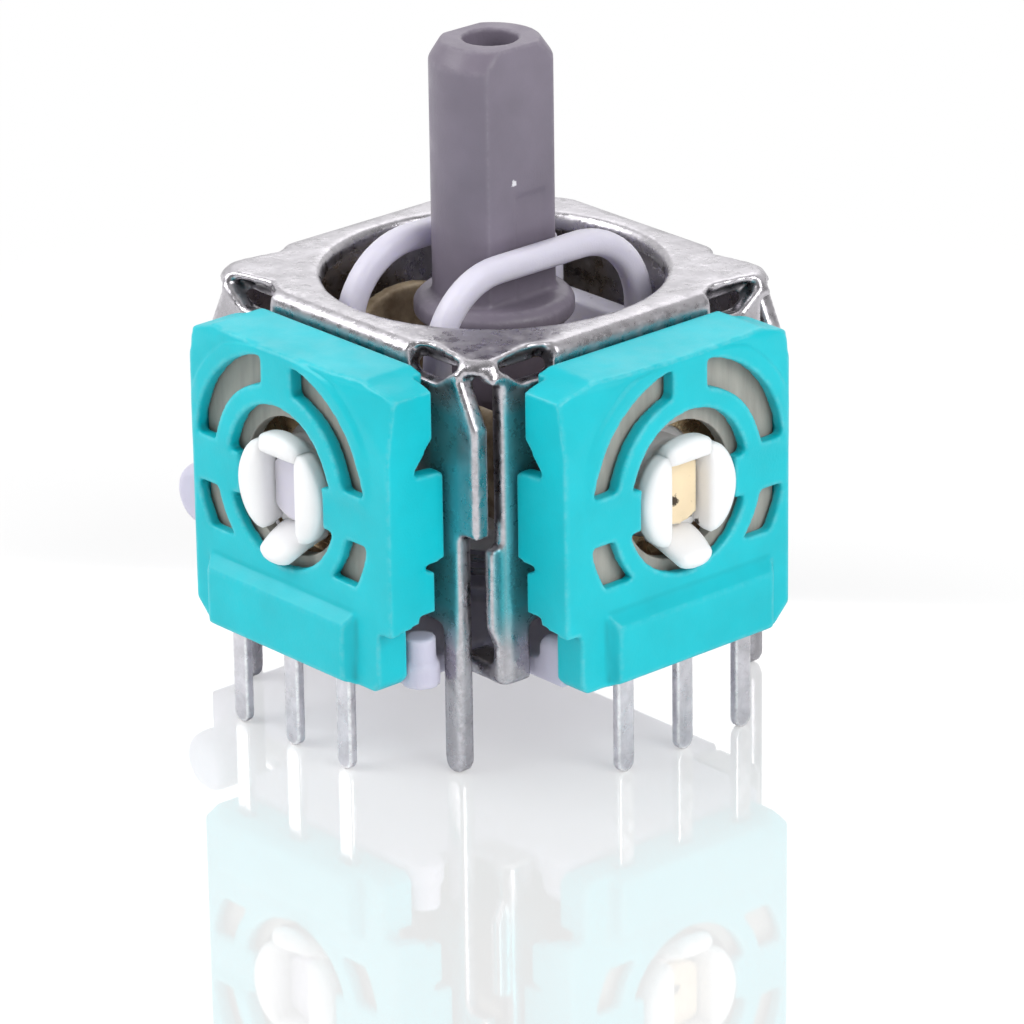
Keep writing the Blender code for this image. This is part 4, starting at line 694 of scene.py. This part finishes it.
def softened_copy(node, step, rounds):
    """A copy of a CAD node with every edge softened: rebuilt on a fine even grid and relaxed.

    It is worked in millimetres, because the rebuild has no finer step than 0.0001 units.
    """
    bm = merged(node)
    bmesh.ops.scale(bm, verts=bm.verts, vec=(1.0 / MM,) * 3)
    rough = bpy.data.meshes.new(f"{node}_rough")
    bm.to_mesh(rough)
    bm.free()
    thing = link(f"{node}_finished", rough)
    rebuild = thing.modifiers.new("grid", "REMESH")
    rebuild.mode = "VOXEL"
    rebuild.voxel_size = step / MM
    relax = thing.modifiers.new("relax", "SMOOTH")
    relax.factor = 0.5
    relax.iterations = rounds
    evaluated = thing.evaluated_get(bpy.context.evaluated_depsgraph_get())
    mesh = bpy.data.meshes.new_from_object(evaluated)
    thing.modifiers.clear()
    thing.data = mesh
    mesh.name = thing.name
    mesh.materials.clear()
    mesh.transform(Matrix.Scale(MM, 4))
    mesh.shade_smooth()
    mark_wear_highlight_and_shade(mesh, step)
    return thing


def bounds_of(node):
    """The low and high corners of a CAD node."""
    places = places_of(frame["nodes"][node].data)
    return Vector(places.min(axis=0).tolist()), Vector(places.max(axis=0).tolist())


def turn_pot(points, side):
    """Place (across, up, out) points, drawn about a pot's axle, on its side of the module.

    The front pot has x = across and y = -out; the side pot is the same turned a quarter
    about Z. Depths count from the frame's wall and heights from the axle.
    """
    across, up = points[..., 0], points[..., 1]
    out = points[..., 2] + bounds_of("metal_frame")[1].y
    if side == "front":
        return np.stack([across, -out, up + AXLE.z], axis=-1)
    return np.stack([out, across, up + AXLE.z], axis=-1)


def settle(thing, node):
    """Give a piece its node's finish, body and slot, and let it stand for the node."""
    slot = SLOT_OF[node]
    thing.data.materials.append(finish_of(slot))
    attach(thing, BODY_OF[node])
    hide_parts(node)


def soften_nodes(nodes, step, rounds):
    """Softened copies of several nodes."""
    for node in nodes:
        settle(softened_copy(node, step, rounds), node)


def round_nodes(nodes, radius):
    """Rounded copies of several nodes."""
    for node in nodes:
        settle(rounded_copy(node, radius), node)


# Operators, one for each piece or group of like pieces

class STICK_OT_stage(bpy.types.Operator):
    """Pale floor, soft lamps and the camera at the photo's angle"""

    bl_idname = "stick.stage"
    bl_label = "Stage"

    def execute(self, context):
        settings = context.scene.stick_stage
        self.make_floor(settings)
        self.make_lamps(settings)
        self.make_sky(context, settings)
        self.make_camera(context, settings)
        context.scene.view_settings.view_transform = "Standard"
        return {"FINISHED"}

    def make_floor(self, settings):
        """A sheet under the lowest blade: a faint mirror, white to the eye beyond the shadow."""
        low = CAD_BOX[0].z
        side = np.linspace(-settings.reach, settings.reach, 9)
        x, y = np.meshgrid(side, side)
        sheet = grid_mesh("studio_floor", np.stack([x, y, np.full_like(x, low)], axis=-1), wrap=False)
        floor = link("studio_floor", sheet)
        mat, tree, shader = graph("studio_floor")
        shader.inputs["Base Color"].default_value = (*settings.floor_colour, 1.0)
        shader.inputs["Roughness"].default_value = 0.6
        shader.inputs["Specular IOR Level"].default_value = 0.0
        white = tree.nodes.new("ShaderNodeEmission")
        far = distance(tree, position(tree), (0.0, 0.0, low))
        path = tree.nodes.new("ShaderNodeLightPath")
        veil = remap(tree, far, 0.35 * settings.clean, settings.clean, 0.55, 1.0)
        pale = mix_shaders(tree, multiply(tree, veil, path.outputs["Is Camera Ray"]), shader.outputs["BSDF"],
                           white.outputs["Emission"])
        gloss = tree.nodes.new("ShaderNodeBsdfGlossy")
        gloss.inputs["Color"].default_value = WHITE
        gloss.inputs["Roughness"].default_value = 0.03
        mirror = remap(tree, path.outputs["Is Camera Ray"], 0.0, 1.0, 0.0, settings.mirror)
        tree.links.new(mix_shaders(tree, mirror, pale, gloss.outputs["BSDF"]),
                       tree.nodes["Material Output"].inputs["Surface"])
        floor.data.materials.append(mat)

    def make_lamps(self, settings):
        """Three large soft lamps: left before the module, to its right, and left behind it."""
        key = (Vector((-0.30, -0.36, 0.40)), 0.42, settings.key)
        fill = (Vector((0.45, 0.04, 0.30)), 0.36, 1.5 * settings.fill)
        rim = (Vector((-0.30, 0.36, 0.40)), 0.40, 0.5 * settings.fill)
        for name, (spot, size, power) in {"key": key, "fill": fill, "rim": rim}.items():
            lamp = bpy.data.lights.new(name, "AREA")
            lamp.energy = power
            lamp.size = size
            holder = link(name, lamp)
            holder.location = spot
            holder.rotation_euler = (AXLE - spot).to_track_quat("-Z", "Y").to_euler()

    def make_sky(self, context, settings):
        """Even light; the eye sees white, and mirrors see white behind the object and dusk before it."""
        world = bpy.data.worlds.new("studio")
        world.use_nodes = True
        context.scene.world = world
        tree = world.node_tree
        ground = tree.nodes["Background"]
        ground.inputs["Color"].default_value = WHITE
        path = tree.nodes.new("ShaderNodeLightPath")
        way = tree.nodes.new("ShaderNodeVectorMath")
        way.operation = "DOT_PRODUCT"
        tree.links.new(tree.nodes.new("ShaderNodeTexCoord").outputs["Generated"], way.inputs[0])
        way.inputs[1].default_value = BEHIND
        shine = remap(tree, way.outputs["Value"], 0.1, 0.75, settings.dusk, 1.0)
        even = remap(tree, path.outputs["Is Camera Ray"], 0.0, 1.0, settings.sky, 1.0)
        strength = tree.nodes.new("ShaderNodeMix")
        tree.links.new(path.outputs["Is Glossy Ray"], strength.inputs["Factor"])
        tree.links.new(even, strength.inputs["A"])
        tree.links.new(shine, strength.inputs["B"])
        tree.links.new(strength.outputs["Result"], ground.inputs["Strength"])

    def make_camera(self, context, settings):
        """The photo's camera: its place and its three axes in the frame."""
        lens = bpy.data.cameras.new("photo_camera")
        lens.lens = settings.lens
        lens.sensor_width = SENSOR
        lens.clip_start = 0.005
        camera = link("photo_camera", lens)
        right = Vector(CAMERA_RIGHT).normalized()
        back = Vector(CAMERA_BACK)
        back = (back - right * back.dot(right)).normalized()
        up = back.cross(right)
        turn = Matrix((right, up, back)).transposed().to_4x4()
        camera.matrix_world = Matrix.Translation(CAMERA_PLACE) @ turn
        context.scene.camera = camera


class STICK_OT_frame(bpy.types.Operator):
    """Folded and plated sheet cover"""

    bl_idname = "stick.frame"
    bl_label = "Metal frame"

    def execute(self, context):
        edges = context.scene.stick_edges
        soften_nodes(["metal_frame"], edges.sheet_step, edges.sheet_rounds)
        return {"FINISHED"}


class STICK_OT_lever(bpy.types.Operator):
    """Lever with its flats and collar"""

    bl_idname = "stick.lever"
    bl_label = "Lever"

    def execute(self, context):
        edges = context.scene.stick_edges
        soften_nodes(["stick"], edges.lever_step, edges.lever_rounds)
        return {"FINISHED"}


class STICK_OT_arch(bpy.types.Operator):
    """Upper yoke: two round rails over the lever, their legs and the axles"""

    bl_idname = "stick.arch"
    bl_label = "Upper yoke"

    def execute(self, context):
        sizes = context.scene.stick_arch
        low, high = bounds_of("upper_yoke")
        start = sizes.reach - sizes.rail_half
        grids = [self.axle(sizes, -start, low.y, True), self.axle(sizes, start, high.y, False)]
        for sign in (-1.0, 1.0):
            grids += [self.rail(sizes, sign), self.leg(sizes, sign)]
        settle(join("upper_yoke_finished", grids), "upper_yoke")
        return {"FINISHED"}

    def rail(self, sizes, sign):
        """A superellipse carried up one leg, over a quarter circle, along the crown and down again."""
        radius = sizes.reach - sizes.flat - sizes.rail_half
        centre = sizes.top - sizes.rail_half - radius
        foot = sizes.joint - 1.2 * sizes.rail_half
        turn = np.linspace(0.0, QUARTER, 15)
        rise = np.linspace(foot, centre, 6)[:-1]
        y = np.concatenate([np.full_like(rise, sizes.flat + radius), sizes.flat + radius * np.cos(turn)])
        z = np.concatenate([rise, centre + radius * np.sin(turn)])
        crown = np.linspace(sizes.flat, -sizes.flat, 9)[1:-1]
        y = np.concatenate([y, crown, -y[::-1]])
        z = np.concatenate([z, np.full_like(crown, z.max()), z[::-1]])
        path = np.stack([np.full_like(y, sign * sizes.rail_place), y, z + AXLE.z], axis=-1)
        half = sizes.rail_half
        grid, ways = carry(path, (1.0, 0.0, 0.0), oval(28, 0.96 * half, half, 2.5))
        return capped(grid, ways)

    def leg(self, sizes, sign):
        """A slab whose outline is inset by r (1 - sin t) at depth r (1 - cos t) under each face."""
        outer = sizes.rail_place + 0.9 * sizes.rail_half
        turn = np.radians(np.linspace(200.0, 340.0, 21))
        low = np.stack([sizes.foot * np.cos(turn), sizes.foot * np.sin(turn)], axis=-1)
        share = np.linspace(0.0, 1.0, 8)[1:, None]
        far_top = np.array([outer, sizes.joint])
        near_top = np.array([-outer, sizes.joint])
        right = low[-1] + (far_top - low[-1]) * share
        top = far_top + (near_top - far_top) * share
        left = near_top + (low[0] - near_top) * share[:-1]
        outline = np.concatenate([low, right, top, left])
        middle = outline.mean(axis=0)
        reach = np.abs(outline - middle).max()
        edge = 0.5 * sizes.rail_half
        t = np.linspace(0.0, QUARTER, 5)
        by_sine = edge * (1.0 - np.sin(t))
        by_cosine = edge * (1.0 - np.cos(t))
        near = sizes.reach - 2.0 * sizes.rail_half
        inset = np.concatenate([[reach], by_sine, by_cosine, [reach]])
        depth = np.concatenate([[near], near + by_cosine, sizes.reach - by_sine, [sizes.reach]])
        spread = middle + (outline - middle)[None] * (1.0 - inset / reach)[:, None, None]
        y = np.broadcast_to(sign * depth[:, None], spread.shape[:2])
        return np.stack([spread[..., 0], y, spread[..., 1] + AXLE.z], axis=-1)

    def axle(self, sizes, start, end, flats):
        """A rod along Y of radius min(r, flat / |cos a|), the flats fading in beyond the wall."""
        turn = np.linspace(0.0, 2.0 * np.pi, 48, endpoint=False)
        wall = bounds_of("metal_frame")[1].y
        edge = 0.1 * sizes.axle
        rows = np.linspace(start, end - math.copysign(edge, end), 40)
        y = np.concatenate([[start, start], rows, [end, end]])
        radius = np.full_like(y, sizes.axle)
        radius[[0, -1]] = 0.0
        radius[-2] -= edge
        ring = radius[:, None] + np.zeros_like(turn)
        if flats:
            cut = sizes.axle_flat / np.maximum(np.abs(np.cos(turn)), 1e-6)
            share = smooth_step(wall, wall + 3.0 * edge, np.abs(y))[:, None]
            ring = ring + (np.minimum(ring, cut) - ring) * share
        return np.stack([ring * np.cos(turn), np.broadcast_to(y[:, None], ring.shape),
                         ring * np.sin(turn) + AXLE.z], axis=-1)


class STICK_OT_yokes(bpy.types.Operator):
    """Lower yoke and the pin between lever and yoke"""

    bl_idname = "stick.yokes"
    bl_label = "Lower yoke"

    def execute(self, context):
        edges = context.scene.stick_edges
        yoke = softened_copy("lower_yoke", edges.lever_step, edges.lever_rounds)
        self.fill_dimple(yoke, context.scene.stick_arch)
        settle(yoke, "lower_yoke")
        round_nodes(["pivot_pin"], edges.small)
        return {"FINISHED"}

    def fill_dimple(self, yoke, sizes):
        """Draw the axle's end nearly flat: depth below the end shrinks fifty times near the axis."""
        places = places_of(yoke.data)
        end = bounds_of("lower_yoke")[1].x
        away = np.hypot(places[:, 1], places[:, 2] - AXLE.z)
        inside = (away < 0.6 * sizes.axle_flat) & (places[:, 0] > end - 0.6 * sizes.axle)
        places[inside, 0] = end - 0.02 * (end - places[inside, 0])
        # Clear the crest highlight and the painted shade where the end is drawn flat
        for name in ("wear_and_highlight", "hollow_shade"):
            layer = yoke.data.attributes[name].data
            values = np.empty(len(places), dtype=np.float32)
            layer.foreach_get("value", values)
            values[inside] = 0.0
            layer.foreach_set("value", values)
        move_to(yoke.data, places)


class STICK_OT_rotors(bpy.types.Operator):
    """White rotors: disc, slotted neck, three fat petals and a longer leaf"""

    bl_idname = "stick.rotors"
    bl_label = "Rotors"

    def execute(self, context):
        sizes = context.scene.stick_rotor
        for side in DIRECTIONS:
            shapes = [self.body(sizes), self.leaf(sizes)]
            shapes += [self.petal(sizes, middle, walls) for middle, walls in self.petals(sizes)]
            grids = [turn_pot(points, side) for points in shapes]
            settle(join(f"{side}_rotor_finished", grids), f"{side}_rotor")
        return {"FINISHED"}

    def body(self, sizes):
        """A closed profile turned about the axle; its bore is the slot, min(w / |cos a|, h / |sin a|)."""
        turn = np.linspace(0.0, 2.0 * np.pi, 96, endpoint=False)
        bore = np.minimum(sizes.slot_half / np.maximum(np.abs(np.cos(turn)), 1e-6),
                          sizes.slot_tall / np.maximum(np.abs(np.sin(turn)), 1e-6))
        front = sizes.disc_back + sizes.disc_thick
        edge = 0.08 * MM
        rows = [(None, sizes.disc_back), (sizes.disc - edge, sizes.disc_back),
                (sizes.disc, sizes.disc_back + edge), (sizes.disc, front - edge), (sizes.disc - edge, front),
                (sizes.neck, front), (sizes.neck, sizes.neck_end), (None, sizes.neck_end),
                (None, sizes.disc_back)]
        radius = np.stack([bore if size is None else np.full_like(turn, size) for size, _ in rows])
        depth = np.broadcast_to(np.array([out for _, out in rows])[:, None], radius.shape)
        return np.stack([radius * np.cos(turn), radius * np.sin(turn), depth], axis=-1)

    def petals(self, sizes):
        """Middles and inner walls of the two side petals and the upper one, seen from outside."""
        half, tall = sizes.slot_half, sizes.slot_tall
        reach = 0.5 * (half + sizes.lip)
        rise = 0.5 * (tall + sizes.lip)
        side = 1.32 * tall
        brow = 1.15 * half
        shapes = [((sign * reach, 0.0), [(-sign, 0.0, reach - half), (0.0, 1.0, side), (0.0, -1.0, side)])
                  for sign in (-1.0, 1.0)]
        shapes.append(((0.0, rise), [(0.0, -1.0, rise - tall), (1.0, 0.0, brow), (-1.0, 0.0, brow)]))
        return shapes

    def petal(self, sizes, middle, walls):
        """Rings round the petal's middle line, from inside the neck to the tip.

        In each direction the ring's reach is (sum of d^-n)^(-1/n) over the distances d to the
        round lip and to the walls, with n = corner, so its corners are a little soft. The lip
        swells from the neck to its full radius, and the ring shrinks as sqrt(1 - s^2.6) over the tip.
        """
        corner = 12.0
        root = sizes.neck_end - 0.3 * MM
        tip_share = 0.28
        turn = np.linspace(0.0, 2.0 * np.pi, 64, endpoint=False)
        way = np.stack([np.cos(turn), np.sin(turn)], axis=-1)
        share = np.concatenate([[0.0], np.linspace(0.0, 1.0, 18)])
        depth = root + share * (sizes.tip - root)
        lip = sizes.neck + (sizes.lip - sizes.neck) * smooth_step(0.1, 0.55, share)
        spot = np.array(middle)
        along = way @ spot
        to_lip = -along[None, :] + np.sqrt(along[None, :] ** 2 + lip[:, None] ** 2 - spot @ spot)
        total = (to_lip / MM) ** -corner
        for nx, nz, gap in walls:
            lean = np.maximum(way @ np.array([nx, nz]), 1e-3)
            total = total + (gap / lean[None, :] / MM) ** -corner
        ring = MM * total ** (-1.0 / corner)
        over = np.clip((share - 1.0 + tip_share) / tip_share, 0.0, 1.0)
        ring = ring * np.sqrt(np.maximum(1.0 - over ** 2.6, 0.0))[:, None]
        ring[0] = 0.0
        flat = spot + ring[..., None] * way
        return np.concatenate([flat, np.broadcast_to(depth[:, None, None], ring.shape + (1,))], axis=-1)

    def leaf(self, sizes):
        """A flattened oval carried out of the neck, falling as s^1.6 and narrowing to a round end."""
        share = np.linspace(0.0, 1.0, 14)
        thick = 0.34 * MM
        root = sizes.neck_end - 0.4 * MM
        end = sizes.tip - 0.12 * MM
        down = -sizes.slot_tall - thick - (sizes.leaf_drop - sizes.slot_tall - 1.7 * thick) * share ** 1.6
        out = root + (end - root) * share
        path = np.stack([np.zeros_like(share), down, out], axis=-1)
        grid, ways = carry(path, (1.0, 0.0, 0.0), oval(36, sizes.leaf_half, thick, 2.4))
        narrow = 1.0 - 0.18 * share ** 2.5
        middle = grid.mean(axis=1, keepdims=True)
        grid[..., 0] = middle[..., 0] + (grid[..., 0] - middle[..., 0]) * narrow[:, None]
        return capped(grid, ways)


class STICK_OT_pots(bpy.types.Operator):
    """Teal covers, film boards and wipers of both pots"""

    bl_idname = "stick.pots"
    bl_label = "Pots"

    def execute(self, context):
        edges = context.scene.stick_edges
        sizes = context.scene.stick_pots
        for side in DIRECTIONS:
            node = f"{side}_pot_housing"
            cover = softened_copy(node, edges.cover_step, edges.cover_rounds)
            self.shape_windows(cover.data, side, sizes)
            settle(cover, node)
            board = rounded_copy(f"{side}_film_board", edges.small)
            self.raise_board(board.data, side, sizes)
            settle(board, f"{side}_film_board")
            round_nodes([f"{side}_wiper"], edges.small)
        return {"FINISHED"}

    def raise_board(self, mesh, side, sizes):
        """Bring a film board nearer to the windows, stretch its upper half and widen its hole."""
        places = places_of(mesh)
        across, depth, outwards = DIRECTIONS[side]
        up = places[:, 2] - AXLE.z
        hole_reach = 2.3 * MM
        wider = np.where(np.hypot(places[:, across], up) < hole_reach, sizes.board_hole, 1.0)
        places[:, depth] += outwards * sizes.board_out
        places[:, across] *= wider
        places[:, 2] = AXLE.z + up * wider + sizes.board_tall * np.maximum(up, 0.0)
        move_to(mesh, places)

    def shape_windows(self, mesh, side, sizes):
        """Lift the upper rims of the openings and raise the face around them into a low collar.

        With S a smooth step and distances in mm, the rims get S(0, 2.5, up) (1 - S(3.9, 4.63, up))
        of the lift and the face S(0.3, 1, up) (1 - S(4.58, 4.72, reach)) of the collar, fading
        towards the face's sides. The face's back comes forward, so the wall looks thinner.
        """
        places = places_of(mesh)
        across, depth, outwards = DIRECTIONS[side]
        up = (places[:, 2] - AXLE.z) / MM
        reach = np.hypot(places[:, across] / MM, up)
        out = (outwards * places[:, depth] - bounds_of("metal_frame")[1].y) / MM
        face = smooth_step(1.9, 2.3, out)
        lift = smooth_step(0.0, 2.5, up) * (1.0 - smooth_step(3.9, 4.63, up))
        collar = (1.0 - smooth_step(3.7, 4.4, np.abs(places[:, across]) / MM)) * smooth_step(0.3, 1.0, up)
        collar *= (1.0 - smooth_step(4.58, 4.72, reach)) * face
        thin = smooth_step(1.55, 1.75, out) * (1.0 - face) * (reach < 4.75)
        places[:, 2] += sizes.lift * lift
        places[:, depth] += outwards * (sizes.collar * collar + sizes.thin * thin)
        move_to(mesh, places)


class STICK_OT_blades(bpy.types.Operator):
    """Solder blades of the pots and the switch"""

    bl_idname = "stick.blades"
    bl_label = "Blades"

    def execute(self, context):
        nodes = [node for node in sorted(frame["nodes"]) if "_terminal_" in node]
        edges = context.scene.stick_edges
        soften_nodes(nodes, edges.blade_step, edges.blade_rounds)
        return {"FINISHED"}


class STICK_OT_base(bpy.types.Operator):
    """Base moulding, spring seat and coil spring"""

    bl_idname = "stick.base"
    bl_label = "Base and spring"

    def execute(self, context):
        edges = context.scene.stick_edges
        soften_nodes(["base"], edges.base_step, edges.base_rounds)
        round_nodes(["spring_seat"], edges.small)
        self.wind_spring(edges)
        return {"FINISHED"}

    def wind_spring(self, edges):
        """The coil spring, a rounded copy of its CAD node with a mesh of its own."""
        spring = rounded_copy("coil_spring", edges.small, 2)
        settle(spring, "coil_spring")
        low, high = bounds_of("coil_spring")
        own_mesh(spring)


class STICK_OT_switch(bpy.types.Operator):
    """Push switch: body, cover, plunger and dome"""

    bl_idname = "stick.switch"
    bl_label = "Push switch"

    def execute(self, context):
        edges = context.scene.stick_edges
        round_nodes(["switch_body", "switch_cover", "switch_plunger"], edges.small)
        round_nodes(["switch_dome"], 0.2 * edges.small)
        return {"FINISHED"}


class STICK_PT_panel(bpy.types.Panel):
    """Lists the steps and the sizes and colours they use"""

    bl_label = "Analog stick"
    bl_idname = "STICK_PT_panel"
    bl_space_type = "VIEW_3D"
    bl_region_type = "UI"
    bl_category = "Stick"

    def draw(self, context):
        column = self.layout.column()
        for step in OPERATORS:
            column.operator(step.bl_idname)
        for name in GROUPS:
            group = getattr(context.scene, name)
            box = self.layout.box()
            for key in group.bl_rna.properties.keys():
                if key not in ("rna_type", "name"):
                    box.prop(group, key)


GROUPS = {"stick_stage": StageSettings, "stick_finish": FinishSettings, "stick_arch": ArchSettings,
          "stick_rotor": RotorSettings, "stick_pots": PotSettings, "stick_edges": EdgeSettings}
OPERATORS = (STICK_OT_stage, STICK_OT_frame, STICK_OT_lever, STICK_OT_arch, STICK_OT_yokes, STICK_OT_rotors,
             STICK_OT_pots, STICK_OT_blades, STICK_OT_base, STICK_OT_switch)


def register():
    """Add the settings, operators and panel to Blender."""
    for name, group in GROUPS.items():
        bpy.utils.register_class(group)
        setattr(bpy.types.Scene, name, PointerProperty(type=group))
    for step in (*OPERATORS, STICK_PT_panel):
        bpy.utils.register_class(step)


def unregister():
    """Take them out again."""
    for step in (STICK_PT_panel, *reversed(OPERATORS)):
        bpy.utils.unregister_class(step)
    for name, group in GROUPS.items():
        delattr(bpy.types.Scene, name)
        bpy.utils.unregister_class(group)


def main():
    """Build every piece in order."""
    register()
    bpy.ops.stick.stage()
    bpy.ops.stick.frame()
    bpy.ops.stick.lever()
    bpy.ops.stick.arch()
    bpy.ops.stick.yokes()
    bpy.ops.stick.rotors()
    bpy.ops.stick.pots()
    bpy.ops.stick.blades()
    bpy.ops.stick.base()
    bpy.ops.stick.switch()


if __name__ == "__main__":
    main()
